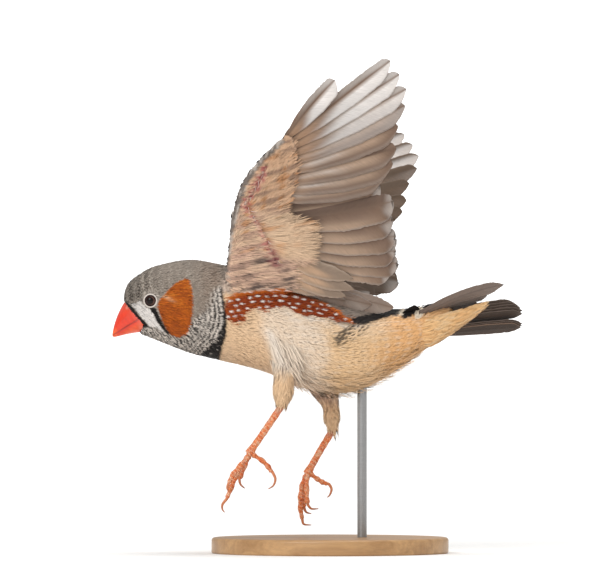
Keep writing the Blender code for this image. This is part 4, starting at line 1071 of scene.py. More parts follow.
def rowsOver(surface, start, end, first, last, rowGap, columnGap, closed=True):
    # staggered rows of roots over a surface, evenly spaced across it
    p, row, found, jitter, step = start, 0, [], 0.35, 1e-3
    angles = np.linspace(first, last, 300)
    while p < end:
        ring, ahead = (surface(np.full(300, at), angles, np.zeros(300)) for at in (p, p + step))
        move = rowGap / (np.median(np.linalg.norm(ahead - ring, axis=1)) / step)
        run = np.concatenate([[0], np.cumsum(np.linalg.norm(np.diff(ring, axis=0), axis=1))])
        n = max(int(run[-1] / columnGap), 3)
        places = (np.arange(n) + 0.5 * (row % 2) + chance.uniform(-jitter, jitter, n)) * run[-1] / n
        q = np.interp(places % run[-1] if closed else np.clip(places, 0, run[-1]), run, angles)
        found.append(np.stack([p + chance.uniform(-jitter, jitter, n) * move, q], 1))
        p += move
        row += 1
    return np.concatenate(found)


# Body coat: each part has its gaps between rows and in a row, and its tufts' length, width, root shade and twist.
bodyCoat = {
    "parts": {
        "coat_head": {
            "x": (-52.2, -34.6), "gaps": (0.31, 0.31), "length": 1.2, "width": 0.36, "root": 0.5, "twist": 0.12,
            "slot": "grey_plumage",
        },
        "coat_neck": {
            "x": (-35.2, -25.2), "gaps": (0.35, 0.35), "length": 1.9, "width": 0.42, "root": 0.75, "twist": 0.12,
            "slot": "grey_plumage",
        },
        "coat_torso_front": {
            "x": (-27.6, -8.6), "gaps": (0.37, 0.37), "length": 3.0, "width": 0.42, "root": 0.92, "twist": 0.08,
            "slot": "buff_plumage",
        },
        "coat_torso_rear": {
            "x": (-10.4, 9.8), "gaps": (0.4, 0.38), "length": 4.2, "width": 0.42, "root": 1.0, "twist": 0.08,
            "slot": "buff_plumage",
        },
        "coat_rump": {
            "x": (8.0, 28.5), "gaps": (0.42, 0.38), "length": 4.2, "width": 0.44, "root": 1.0, "twist": 0.08,
            "slot": "buff_plumage",
        },
    },
    "thighs": {-1: -12.5, 1: -3.0},  # where each thigh leaves the body, on the left and right
}


def notInBill(points):
    return (points - body["billBrow"]) @ billAway < -billEdge(points) - 0.05


def beforeEye(x, reach):
    return (x < body["eye"][0] + 0.4) & (reach < 4.2)


def bodyLie(x, z, q, reach):
    # how far the feathers are turned from straight back, towards growing q
    downwards = np.where(np.sin(q) > 0, 1.0, -1.0)
    above = np.where(z > body["eye"][2], -1.0, 1.0)
    turn = np.where(beforeEye(x, reach), downwards * above * 0.95 * fade(2.0, 4.2, reach), 0)
    for side, place in bodyCoat["thighs"].items():
        here = (downwards == -side) * np.exp(-((x - place) / 5) ** 2) * fade(48, 57, z)
        turn = turn + downwards * here * 0.75
    rising = hump(x, 5, 6) * hump(z, 55.5, 3.5)
    return turn - downwards * 0.5 * rising


def growBodyCoat():
    for name, part in bodyCoat["parts"].items():
        start, end = (bodyT(x) for x in part["x"])
        p, q = rowsOver(bodyPoint, start, end, 0.0, 2 * math.pi, *part["gaps"]).T
        count = len(p)
        here = bodyPoint(p, q, np.zeros(count))
        x, z = here[:, 0], here[:, 2]
        low, reach = -coatDepth(x), eyeReach(here)
        turn = bodyLie(x, z, q, reach) + chance.normal(0, 0.12, count)
        length, width = (part[key] * chance.uniform(0.8, 1.2, count) for key in ("length", "width"))
        if name == "coat_head":
            length = length * np.interp(x, [-52, -48, -40, -35], [0.6, 0.75, 1.05, 1.25])
            length = np.where(edgeDistance(x, z, markings["cheekOutline"]) > 0, length * 1.5, length)
            length = np.minimum(length, np.where(beforeEye(x, reach), np.maximum(reach - 1.45, 0.45), 9))
        # short where the markings are fine
        bars = np.interp(x, [-38, -37, -27.5, -22.5], [9.0, 1.5, 1.5, 3.2]) * chance.uniform(0.85, 1.15, count)
        flank = np.interp(-edgeDistance(x, z, markings["flankOutline"]), [0.2, 1.8], [1.7, 9.0])
        ovalX, ovalZ = markings["ovalsAround"]
        ovals = np.interp(np.hypot((x - ovalX) / 4.5, (z - ovalZ) / 3.0), [0.8, 1.4], [0.8, 9.0])
        streaked = np.interp(streakDistance(x, z, 6.5, 3.0), [0.8, 1.5], [2.2, 9.0])
        length = np.minimum.reduce([length, bars, flank, ovals, streaked])
        high = 0.02 + chance.uniform(-0.22, 0.08, count) * np.abs(low) * np.interp(x, [-26, -22], [1.0, 0.45])
        high = np.where(reach < 3.0, low * 0.35, high) + 0.62 * fade(-51.3, -47.6, x) * ease(61, 63, z)
        p, q, turn, length, width, low, high = (k[reach > 1.9] for k in (p, q, turn, length, width, low, high))
        growTufts(
            name, bodyPoint, p, q, turn, length, width, low, high, bodyColours, slot=part["slot"],
            keep=lambda c: notInBill(c[:, 0]), rootShade=part["root"], twist=part["twist"],
        )
        print(name, "grown")


wisps = {
    "count": 520, "x": (-14.0, 20.0), "angles": (2.3, 4.0), "length": (4.5, 8.0), "width": 0.22, "lift": (0.3, 1.9),
}


def growWisps():
    # loose ends that stand a little off the belly
    count = wisps["count"]
    p = chance.uniform(bodyT(wisps["x"][0]), bodyT(wisps["x"][1]), count)
    q = chance.uniform(*wisps["angles"], count)
    x, _, z = bodyPoint(p, q, np.zeros(count)).T
    turn = bodyLie(x, z, q, np.full(count, 99.0)) + chance.normal(0, 0.18, count)
    growTufts(
        "coat_wisps", bodyPoint, p, q, turn, chance.uniform(*wisps["length"], count), wisps["width"], -0.8,
        chance.uniform(*wisps["lift"], count), bodyColours, curl=0.06,
    )


veil = {
    "count": 360, "x": (-15.5, -9.2), "angles": {-1: (1.7, 2.45), 1: (3.75, 4.5)}, "length": (4.0, 6.5),
    "width": 0.34, "lift": (0.5, 2.0),
}


def veilColours(points):
    fine = wobble(points * (1.6, 1.6, 0.3), 0.5, 31)
    tone = mixed(bodyColours(points), markings["thighTop"], 0.4)
    return mixed(
        tone, markings["thighDark"],
        0.55 * ease(0.15, 0.6, fine) * ease(-13.5, -11.5, points[:, 0]) * fade(48, 51, points[:, 2]),
    )


def growVeil():
    count = veil["count"]
    for side, name in ((-1, "left"), (1, "right")):
        shift = bodyCoat["thighs"][side] - bodyCoat["thighs"][-1]
        p = chance.uniform(bodyT(veil["x"][0] + shift), bodyT(veil["x"][1] + shift), count)
        q = chance.uniform(*veil["angles"][side], count)
        turn = -side * (0.95 + chance.normal(0, 0.14, count))
        growTufts(
            f"coat_veil_{name}", bodyPoint, p, q, turn, chance.uniform(*veil["length"], count), veil["width"], -0.3,
            chance.uniform(*veil["lift"], count), veilColours, curl=0.06,
        )


growWisps()
growVeil()
growBodyCoat()


def thighSurface(leg):
    path = np.array(leg["thigh"])
    last = len(path) - 1.0

    def at(s, angle, grow):
        place, ahead = splineAt(path, np.clip(s, 0, last)), splineAt(path, np.clip(s + 0.02, 0, last + 0.02))
        along = unit(ahead[:, :3] - place[:, :3])
        across, other = crossAxes(along)
        radius = np.maximum(place[:, 3] - skinSizes["thighDepth"] + grow, 0.4)[:, None]
        outward = across * np.cos(angle)[:, None] * 0.92 + other * np.sin(angle)[:, None]
        return place[:, :3] + along * np.maximum(s - last, 0)[:, None] * 3.0 + radius * outward

    return at


thighCoat = {"gaps": (0.36, 0.33), "length": 3.0, "width": 0.34, "start": 0.3, "end": 3.75}


def growThighCoat():
    for name, leg in legs.items():
        surface = thighSurface(leg)
        p, q = rowsOver(surface, thighCoat["start"], thighCoat["end"], 0.0, 2 * math.pi, *thighCoat["gaps"]).T
        count = len(p)
        length = thighCoat["length"] * chance.uniform(0.7, 1.25, count) * np.interp(p, [0, 3, 4], [1.3, 1.0, 0.6])
        turn = chance.normal(0, 0.13, count)
        width = thighCoat["width"] * chance.uniform(0.7, 1.2, count)
        high = chance.uniform(0.75, 1.25, count) * skinSizes["thighDepth"]
        growTufts(f"coat_thigh_{name}", surface, p, q, turn, length, width, 0.0, high, thighColours, curl=0.05)


growThighCoat()
print("thighs dressed")


# Coverts under the tail: soft vanes over a form that narrows to the tail's left.
underTail = {
    "span": (14.2, 31.2), "halfWidth": 4.6, "depth": 4.7, "top": -2.05, "shift": 5.6,
    "gaps": (0.5, 0.4), "length": 5.0, "width": 0.5,
    **palette(light="e9bd88", dark="cf9a64", pale="efd2ab"),
}


def tailAxes():
    rise, roll = math.radians(tailLayout["rise"]), math.radians(tailLayout["roll"])
    along = np.array((math.cos(rise), 0, math.sin(rise)))
    left = np.array((0, -math.cos(roll), math.sin(roll)))
    left = unit(left - along * (left @ along))
    upper = np.cross(left, along)
    return along, left, upper if upper[2] > 0 else -upper


def tailPoint(along, left, upper):
    axes = tailAxes()
    return np.array(tailLayout["root"]) + sum(
        np.asarray(k)[..., None] * axis for k, axis in zip((along, left, upper), axes)
    )


def underTailSurface(share, angle, grow):
    s = np.clip(share, 0, 1)
    half = underTail["halfWidth"] * (1 - s) ** 0.7 + 0.5 + grow
    depth = underTail["depth"] * (1 - s) ** 1.05 + 0.5 + grow
    along = between(underTail["span"], share)
    left = underTail["shift"] * s ** 1.5
    down = np.cos(angle)
    height = np.where(down > 0, -np.maximum(depth, 0.2) * down, -0.25 * down)
    return tailPoint(along, left - np.maximum(half, 0.2) * np.sin(angle), underTail["top"] + height)


def underTailColours(points):
    strands = wobble(points * (0.16, 1.0, 1.0), 0.6, 33)
    tone = mixed(underTail["light"], underTail["dark"], 0.75 * ease(-0.2, 0.9, strands))
    tone = mixed(tone, underTail["pale"], 0.6 * ease(0.3, 0.9, -strands))
    blend = fade(13, 19, points[:, 0])
    return mixed(tone, bodyColours(points), blend)


def growUnderTail():
    p, q = rowsOver(underTailSurface, -0.12, 0.8, -1.5, 1.7, *underTail["gaps"], closed=False).T
    count = len(p)
    length = underTail["length"] * chance.uniform(0.7, 1.2, count) * np.interp(p, [0, 0.8], [1.0, 0.8])
    turn, width = chance.normal(0, 0.12, count), underTail["width"] * chance.uniform(0.7, 1.2, count)
    high = chance.uniform(-0.1, 0.12, count)
    growTufts(
        "coat_under_tail", underTailSurface, p, q, turn, length, width, -0.8, high, underTailColours, curl=0.02,
        twist=0.04,
    )


growUnderTail()
print("coverts under the tail grown")


# Wing coats: hair-like tufts under the wing and small covert feathers over it.
wingCoat = {
    "gaps": (0.42, 0.32), "length": 3.2, "width": 0.32,
    "turnAt": [-4, 3, 8, 14, 20, 26, 32, 41], "turn": [-0.25, -0.05, 0.1, 0.25, 0.45, 0.62, 0.75, 0.85],
}


def wingSurface(wing, under):
    sign = 1.0 if under else -1.0

    def at(u, v, grow):
        half = np.interp(v, [-4, 8, 20, 41], [1.0, 0.95, 0.8, 0.6])
        edge = np.clip((u - leadingEdge(v)) / 1.6, 0.0, 1.0)
        return wingPoint(wing, u, v, sign * (half * np.sqrt(edge * (2 - edge)) + grow))

    return at


def fleshDistance(u, v):
    return np.maximum.reduce([edgeDistance(u, v, flesh[part]) for part in wingParts])


def overFlank(points, tone):
    # the flank's markings where the wing's lowest tufts hang over them
    inside = edgeDistance(points[:, 0], points[:, 2], markings["flankOutline"])
    return mixed(tone, bodyColours(points), ease(-0.2, 0.1, inside))


def beforeBare(u, v):
    # how far ahead of the bare line a point lies
    arm, hand = (np.array(wingPaint[line])[::-1].T for line in ("bareLine", "handLine"))
    return np.where(v < wingPaint["wrist"], np.interp(v, arm[1], arm[0]), np.interp(v, hand[1], hand[0])) - u


def growWingCoat():
    columns, rows = np.arange(-6, 19, wingCoat["gaps"][0]), np.arange(-4, 41.5, wingCoat["gaps"][1])
    for name, wing in wings.items():
        for under in (True, False):
            u, v = (
                k.ravel() + chance.uniform(-0.25, 0.25, k.size) for k in np.meshgrid(columns, rows, indexing="ij")
            )
            pick = fleshDistance(u, v) > -0.1
            u, v = u[pick], v[pick]
            if under:
                pick = bareDistance(u, v) > bareWidth(v) * chance.uniform(0.4, 1.1, len(v))
                u, v = u[pick], v[pick]
            count, edge = len(u), u - leadingEdge(v)
            rim = np.arctan2(1.0, leadingEdge(v + 0.5) - leadingEdge(v - 0.5)) - 0.3 - 0.35 * ease(16, 24, v)
            turn = np.interp(v, wingCoat["turnAt"], wingCoat["turn"])
            turn = turn + (rim - turn) * fade(0.6, 3.0, edge) * ease(8, 12, v) + chance.normal(0, 0.11, count)
            length = wingCoat["length"] * chance.uniform(0.7, 1.25, count) * np.interp(
                edge, [0, 1.5, 5], [0.5, 0.7, 1.1],
            )
            width = wingCoat["width"] * chance.uniform(0.75, 1.25, count) * (1.0 if under else 1.6)
            if under:
                gap = beforeBare(u, v)
                limit = np.maximum(chance.uniform(0.7, 1.4, count) * gap, 0.5)
                length = np.where((gap > 0) & (v > 7) & (v < 33), np.minimum(length, limit), length)
            behind = (12.3 + chance.normal(0, 1.1, count) - u) / np.maximum(np.cos(turn), 0.3)
            length = np.where(v > 21, np.minimum(length, np.maximum(behind, 0.8)), length)
            high = chance.uniform(0.25, 0.6, count) * np.interp(edge, [0, 2], [0.3, 1.0])

            def colours(points, wing=wing, under=under):
                a, b, _ = wingCoordinates(wing, points)
                tone = wingColours(a, b, under)
                return overFlank(points, tone) if under else tone

            growTufts(
                f"coat_wing_{name}_{'under' if under else 'upper'}", wingSurface(wing, under), u, v, turn, length,
                width,
                -0.05, high, colours, covertPlumage, "wing_plumage",
            )


# Long silky down that fans out under the wing from the elbow, and falls over the armpit.
silk = {
    "patches": [  # place of the roots from and to, where they point, length, count
        {
            "from": (2.0, 9.3), "to": (11.5, 17.0), "away": (-7.0, 13.4), "length": (5.0, 8.5), "count": 3600,
            "high": 1.5,
        },
        {
            "from": (0.5, 19.0), "to": (7.6, 34.0), "away": (-6.0, 13.0), "length": (2.0, 3.8), "count": 2600,
            "high": 0.9,
        },
        {
            "from": (-3.0, 1.0), "to": (6.5, 6.5), "away": (-14.0, 9.0), "length": (3.0, 5.0), "count": 1200,
            "high": 1.2,
        },
    ],
    "width": 0.3,
}


def growSilk():
    for name, wing in wings.items():
        def colours(points, wing=wing):
            a, b, n = wingCoordinates(wing, points)
            return overFlank(points, mixed(wingColours(a, b, True), wingPaint["cream"], 0.25 * ease(1.5, 2.2, n)))

        found = []
        for patch in silk["patches"]:
            at = chance.uniform(patch["from"], patch["to"], (patch["count"], 2))
            at = at[(fleshDistance(*at.T) > 0.2) & (bareDistance(*at.T) > 0.55) & (beforeBare(*at.T) < 0)]
            count, arm = len(at), at - patch["away"]
            turn = np.arctan2(arm[:, 1], arm[:, 0]) + chance.normal(0, 0.1, count)
            length = chance.uniform(*patch["length"], count)
            found.append([*at.T, turn, length, patch["high"] * chance.uniform(0.4, 1.0, count)])
        u, v, turn, length, high = np.concatenate(found, axis=1)
        growTufts(
            f"coat_silk_{name}", wingSurface(wing, True), u, v, turn, length,
            silk["width"] * chance.uniform(0.7, 1.2, len(u)),
            0.1, high, colours, covertPlumage, "wing_plumage", curl=0.03,
        )


growWingCoat()
growSilk()
print("wing coats grown")


# Vanes: a feather as a fine closed sheet about its shaft.
class VaneBook:
    # gathers the points, faces, colours and maps of many vanes into one mesh
    def __init__(self):
        self.points, self.faces, self.colours, self.strips, self.vanes = [], [], [], [], []

    def add(self, grid, back, colourFront, colourBack, width, length, c):
        rows, columns = grid.shape[:2]
        first, second = grid[rows // 2, 0], grid[rows // 2, columns // 2]
        outward = np.cross(second - first, grid[rows // 2 + 1, 0] - first) @ (first - back[rows // 2, 0])
        n, front = rows * columns, gridFaces(rows, columns)
        border = np.concatenate([
            np.arange(columns), np.arange(1, rows) * columns + columns - 1,
            (rows - 1) * columns + np.arange(columns - 2, -1, -1), np.arange(rows - 2, 0, -1) * columns,
        ])
        after = np.roll(border, -1)
        rim = np.stack([after, border, border + n, after + n], -1)
        faces = np.concatenate([front, front[:, ::-1] + n, rim]) + sum(len(p) for p in self.points)
        self.faces.append(faces if outward > 0 else faces[:, ::-1])
        across, along = np.meshgrid(c, np.linspace(0, 1, rows))
        own = np.stack([across * width / 2, along * length + 11.3 * len(self.points)], -1).reshape(-1, 2)
        self.points.append(np.concatenate([grid.reshape(-1, 3), back.reshape(-1, 3)]))
        self.colours.append(np.concatenate([colourFront.reshape(-1, 3), colourBack.reshape(-1, 3)]))
        self.vanes.append(np.concatenate([own, own]))
        self.strips += [np.stack([(across + 1) / 2, along], -1).reshape(-1, 2)] * 2

    def finish(self, name, material, slot, *nodes):
        faces = np.concatenate(self.faces)
        mesh, loops = meshFrom(name, np.concatenate(self.points), faces)
        colourMesh(mesh, np.clip(np.concatenate(self.colours), 0.003, 1))
        side = math.ceil(math.sqrt(len(self.strips)))
        cells = [
            (np.array((k % side, k // side)) + 0.04 + 0.92 * strip) / side for k, strip in enumerate(self.strips)
        ]
        mapMesh(mesh, "OFBake", loops, np.concatenate(cells))
        mapMesh(mesh, "vane", loops, np.concatenate(self.vanes))
        coatTriangles[name] = len(faces) * 2
        putPiece(name, mesh, material, slot, *nodes)


vaneColumns = np.array([-1, -0.8, -0.55, -0.3, -0.09, 0.0, 0.09, 0.3, 0.5, 0.7, 0.86, 1])


def addVane(
    book, root, tip, face, width, profile, rolls, leadShare, sag, cup, colourOf, steps=26, columns=vaneColumns,
    thickness=0.09, ragged=0.0, seed=0, points=((0.09, 2.0), (0.09, 2.0)), fray=(0.0, 0.0),
):
    # points: over which share of its length each vane narrows to the tip, and how roundly
    root, tip, face = (np.array(k, float) for k in (root, tip, face))
    face = unit(face)
    draw = np.random.default_rng(seed)
    long = np.linalg.norm(tip - root)
    along = unit(tip - root)
    trailing = unit(np.cross(along, face))
    if trailing[2] > 0:
        trailing = -trailing
    t = 1 - (1 - np.linspace(0, 1, steps)) ** 1.25
    shares = np.interp(t, *np.array(profile).T)
    sides = []
    for (reach, power), part in zip(points, (leadShare, 1 - leadShare)):
        end = np.clip((t - 1 + reach) / reach, 0, 1)
        sides.append(width * shares * part * (1 - end ** power) ** (1 / max(power, 1.15)))
    lead, trail = sides
    centre = root + (tip - root) * t[:, None]
    centre = centre + trailing * (sag * 4 * t * (1 - t))[:, None] + face * (cup * t * t)[:, None]
    angle = np.radians(between(rolls, t))[:, None]
    across = trailing * np.cos(angle) + face * np.sin(angle)
    through = face * np.cos(angle) - trailing * np.sin(angle)
    c = np.asarray(columns)
    offset = np.where(c[None] < 0, c[None] * lead[:, None], c[None] * trail[:, None])
    if ragged:
        wave = sum(np.sin(t[:, None] * k + draw.uniform(0, 6.28)) for k in (23, 41, 67)) / 3
        gate = ease(0.45, 0.8, t)[:, None] * np.clip(np.abs(c[None]) - 0.5, 0, 1) * 2
        offset = offset * (1 + ragged * gate * wave)
    slide = np.zeros_like(offset)
    if fray[0]:
        # loose barb ends along the edges and at the tip
        edge = np.clip(np.abs(c[None]) - 0.8, 0, 0.2) * 5 * ease(0.3, 0.7, t)[:, None]
        offset = offset + edge * draw.normal(0, fray[0], offset.shape) * np.clip(np.abs(offset), 0, 1)
        slide[-3:] += draw.uniform(-1.0, 0.3, (1, len(c))) * fray[1] * np.array([[0.15], [0.5], [1.0]])
    # the barbs' ends sweep towards the feather's tip
    sweep = np.abs(offset) * 0.18 * ease(0.0, 0.25, t)[:, None] * fade(0.85, 1.0, t)[:, None] + slide
    curve = -0.014 * np.abs(offset) ** 1.6
    spots = (
        centre[:, None] + across[:, None] * offset[..., None] + through[:, None] * curve[..., None]
        + along * sweep[..., None]
    )
    shaft = np.exp(-(offset / 0.28) ** 2) * (1 - t[:, None] * 0.85)
    half = (thickness / 2 * (0.5 + 0.5 * (1 - np.abs(c[None]) ** 2)) + 0.14 * shaft)[..., None]
    front, back = spots + through[:, None] * half, spots - through[:, None] * half
    place = (t[:, None] + 0 * offset, c[None] + 0 * offset, offset)
    book.add(front, back, colourOf(*place, True), colourOf(*place, False), width, long, c)


flight = {
    "shape": [(0.0, 0.22), (0.14, 0.32), (0.33, 0.76), (0.6, 1.03), (0.88, 0.97), (1.0, 0.9)],
    "rolls": (12.0, 6.0), "lead": 0.34, "cup": 0.8,
    "primaries": {
        "tips": [
            (22.6, 55.8), (36.5, 60.9), (38.8, 57.3), (40.5, 53.4), (40.2, 49.1), (38.5, 43.6), (38.1, 37.8),
            (37.2, 33.6), (35.4, 31.0),
        ],
        "roots": ((9.2, 38.4), (1.2, 24.2)), "widths": (5.0, 6.8), "sags": (-0.4, 0.6), "depth": 0.0,
        "end": {"points": ((0.05, 1.8), (0.17, 1.45)), "fray": (0.05, 0.2)},
    },
    "secondaries": {
        "tips": [(37.4, 23.6), (37.3, 18.6), (38.1, 14.2), (38.0, 10.2), (38.7, 6.9), (36.9, 4.8)],
        "roots": ((2.6, 17.6), (10.2, 9.2)), "widths": (7.6, 6.2), "sags": (0.8, 0.2), "depth": 0.0,
        "end": {"points": ((0.08, 2.4), (0.13, 2.2)), "fray": (0.08, 0.6)},
    },
    "tertials": {
        "tips": [(37.6, -5.4), (32.0, -4.6), (25.4, -3.6)],
        "roots": ((7.6, 3.4), (4.2, 0.2)), "widths": (5.4, 5.4), "sags": (0.4, 0.2), "depth": 1.5,
        "end": {"points": ((0.2, 1.6), (0.25, 1.6)), "fray": (0.06, 0.2)},
    },
    **palette(
        taupe="9d8271", dark="826855", buff="d8b99f", pale="fbf7f4", ahead="98806f", tip="cdbfb4", shaft="8a7261",
        line="5f4d43", upper="64503f", upperEdge="8f7b6b", base="d3a988", frayed="c9c0b9",
    ),
    # the two small feathers at the wrist, root and tip
    "alula": [((0.8, 24.2), (4.4, 34.0)), ((0.5, 23.4), (2.4, 30.2))],
}
flightRows = ("primaries", "secondaries", "tertials")


def lifted(tip, wing):
    # the far wing's lowest feathers stand higher and reach less far back
    return tip[0] - wing["fold"] * ease(8.0, -4.0, tip[1]), tip[1] + wing["lift"] * ease(12.0, -6.0, tip[1])


def flightColours(row, index):
    f = flight
    outer = 1 - ease(2.2, 5.0, index) if row == "primaries" else 0.0

    def colours(t, c, offset, under):
        place = np.stack([offset, t * 40, 0 * t + 7 * index], -1).reshape(-1, 3)
        streaks = wobble(place * (1.0, 0.12, 1), 0.9, 51).reshape(t.shape)
        # the pale windows of the outer primaries: pale webs, painted near white for the light that shines through
        # them
        window = ease(0.05, 0.16, c) * ease(0.3, 0.55, t + 0.25 * (c - 0.5)) * (1 - 0.5 * ease(0.88, 0.97, c))
        tipward = ease(0.8, 1.0, t + 0.02 * streaks)
        if not under:
            base = mixed(f["upper"], f["upperEdge"], 0.2 + 0.2 * streaks)
            base = mixed(base, f["upperEdge"], 0.7 * ease(0.82, 0.98, np.abs(c)))
            if row == "primaries":
                # the outer primaries' pale ends on the upper side: pale webs, painted near white for the light that
                # shines through them
                base = mixed(
                    base, f["pale"], 0.8 * fade(3.0, 4.0, index) * ease(0.45, 0.75, t) * ease(-0.9, 0.3, c),
                )
                return mixed(base, f["frayed"], outer * 0.8 * ease(0.72, 0.95, t) * ease(-0.2, 0.3, c))
            return mixed(base, f["frayed"], 0.75 * ease(0.84, 0.97, t) * ease(-0.6, 0.2, c))
        base = mixed(f["taupe"], f["dark"], 0.3 + 0.25 * streaks)
        if row == "primaries":
            base = layered(
                base,
                (f["ahead"], 0.5 * fade(-0.35, 0.0, c)),
                (f["frayed"], 0.85 * outer * fade(-0.45, -0.1, c) * ease(0.3, 0.7, t)),
            )
            inner = ease(0.0, 0.12, c) * fade(0.35, 0.7, c) * fade(0.75, 0.98, t) * (1 - 0.7 * outer)
            base = mixed(base, f["buff"], 0.85 * inner)
            base = mixed(base, f["base"], 0.7 * fade(0.18, 0.42, t) * ease(-0.5, 0.0, c))
            glint = np.exp(-((c - 0.32 - 0.1 * streaks) / 0.13) ** 2 - ((t - 0.42) / 0.17) ** 2)
            base = layered(
                base,
                (f["pale"], 0.5 * glint * (1 - outer)),
                # near white on the outer primaries' windows and tips: pale webs, painted lighter for the light
                # shining through them
                (f["pale"], 0.97 * window * outer),
                (f["tip"], 0.35 * ease(0.6, 0.95, c) * (1 - outer)),
                (f["pale"], 0.45 * outer * ease(0.7, 0.95, t)),
                (f["line"], 0.6 * hump(c, -0.14, 0.14) * fade(0.8, 1.0, t) * (0.7 + 0.4 * streaks)),
            )
        elif row == "secondaries":
            base = layered(
                base,
                # painted shade down the leading side, where the feather before it overlaps
                (f["line"], 0.5 * fade(-0.3, 0.5, c + 0.15 * streaks) * (1 - 0.6 * tipward)),
                (f["buff"], 0.85 * ease(0.25, 0.85, c + 0.1 * streaks) * fade(0.6, 0.98, t)),
                (f["tip"], 0.75 * ease(0.93, 1.0, c)),
                (f["line"], 0.3 * np.exp(-((t - 0.93 + 0.01 * streaks) / 0.02) ** 2)),
                (f["frayed"], 0.8 * ease(0.91, 0.99, t + 0.03 * streaks)),
            )
        else:
            base = layered(
                base,
                (f["tip"], 0.35 + 0.2 * streaks),
                (f["pale"], 0.3 * ease(0.9, 1.0, np.abs(c))),
            )
        return mixed(base, f["shaft"], np.exp(-(offset / 0.2) ** 2) * 0.7)

    return colours


def growFlightFeathers():
    for name, wing in wings.items():
        under = wingAxes(wing)[2]
        book = VaneBook()

        def whole(root, tip, level, width, sag, row, index, seed):
            addVane(
                book, wingPoint(wing, *root, level), wingPoint(wing, *tip, level), under, width, flight["shape"],
                flight["rolls"],
                flight["lead"], sag, flight["cup"], flightColours(row, index), steps=60, seed=seed,
                **flight[row]["end"],
            )

        for row in flightRows:
            part = flight[row]
            roots = [np.array(k) for k in part["roots"]]
            for i, tip in enumerate(part["tips"]):
                f = i / (len(part["tips"]) - 1)
                end = np.array(lifted(tip, wing)) + (wing["reach"] if row == "primaries" else 0.0, 0.0)
                width, sag = between(part["widths"], f), between(part["sags"], f)
                whole(between(roots, f), end, -part["depth"], width, sag, row, i, 100 + i)
        for i, (root, tip) in enumerate(flight["alula"]):
            addVane(
                book, wingPoint(wing, *root, -1.3), wingPoint(wing, *tip, -1.3), under, 1.9,
                [(0, 0.5), (0.6, 1), (1, 0.8)], (4, 4),
                0.5, 0.0, 0.0, flightColours("secondaries", i), steps=14, seed=300 + i,
            )
        # one feather behind the others fills the gap between the two rows
        whole((2.2, 20.4), (34.0, 27.8), -0.7, 8.4, 0.3, "secondaries", 5, 320)
        book.finish(
            f"flight_feathers_{name}", flightPlumage, "wing_plumage", *[f"wing_{name}_{p}" for p in wingParts],
        )


growFlightFeathers()
print("flight feathers grown")


coverts = {
    "tiers": [  # reach over the flight feather, width, distance from the wing's middle, start
        {"reach": 0.44, "width": 0.62, "level": 1.0, "start": 0.06},
        {"reach": 0.3, "width": 0.5, "level": 1.45, "start": 0.06},
        {"reach": 0.2, "width": 0.42, "level": 1.75, "start": 0.0},
    ],
    # the one tier under the wing
    "soft": {"reach": {"primaries": 0.15, "secondaries": 0.27}, "width": 0.52, "level": 0.95, "start": 0.05},
    "armpit": {
        "roots": [(9.0, 9.4), (8.5, 7.8), (7.9, 6.4), (7.2, 5.2), (6.6, 4.2)],
        "tips": [(27.4, 3.2), (27.6, 0.2), (25.6, -1.8), (20.8, -1.0), (16.4, 0.8)],
        "width": 4.8, "level": 1.6,
    },
    "shape": [(0.0, 0.5), (0.6, 1.0), (1.0, 0.9)],
    **palette(under="d0aa8b", softEdge="dcc6b2", armpitColour="cfab8c", armpitEnd="968271"),
    "upper": [paint("6f6156"), paint("776a5e"), paint("7d7064")],
    "columns": np.array([-1, -0.6, -0.12, 0.12, 0.6, 1]),
    "end": {"fray": (0.2, 0.6), "points": ((0.4, 1.3), (0.4, 1.3)), "steps": 16},
    "upperEnd": {"ragged": 0.05, "steps": 9},
}


def covertColours(tier, side):
    c0 = coverts
    base = c0["under"] if side > 0 else c0["upper"][tier]
    armpit = tier == 3

    def colours(t, c, offset, front):
        place = np.stack([offset, t * 10, 0 * t + tier], -1).reshape(-1, 3)
        streaks = wobble(place * (1.0, 0.2, 1), 0.8, 61).reshape(t.shape)
        tone = base * (1 + 0.12 * streaks)[..., None]
        if armpit:
            tone = mixed(c0["armpitColour"], c0["armpitEnd"], ease(0.15, 0.7, t - 0.15 * c + 0.2 * streaks))
            return mixed(tone, c0["softEdge"], 0.5 * ease(0.7, 1.0, np.abs(c)))
        edge = c0["softEdge"] if side > 0 else flight["upperEdge"]
        tone = mixed(tone, edge, (0.25 if side > 0 else 0.5) * ease(0.75, 1.0, np.maximum(np.abs(c), t)))
        return tone * mixed(np.array((0.85,) * 3), np.array((1.0,) * 3), ease(0.0, 0.6, t))

    return colours


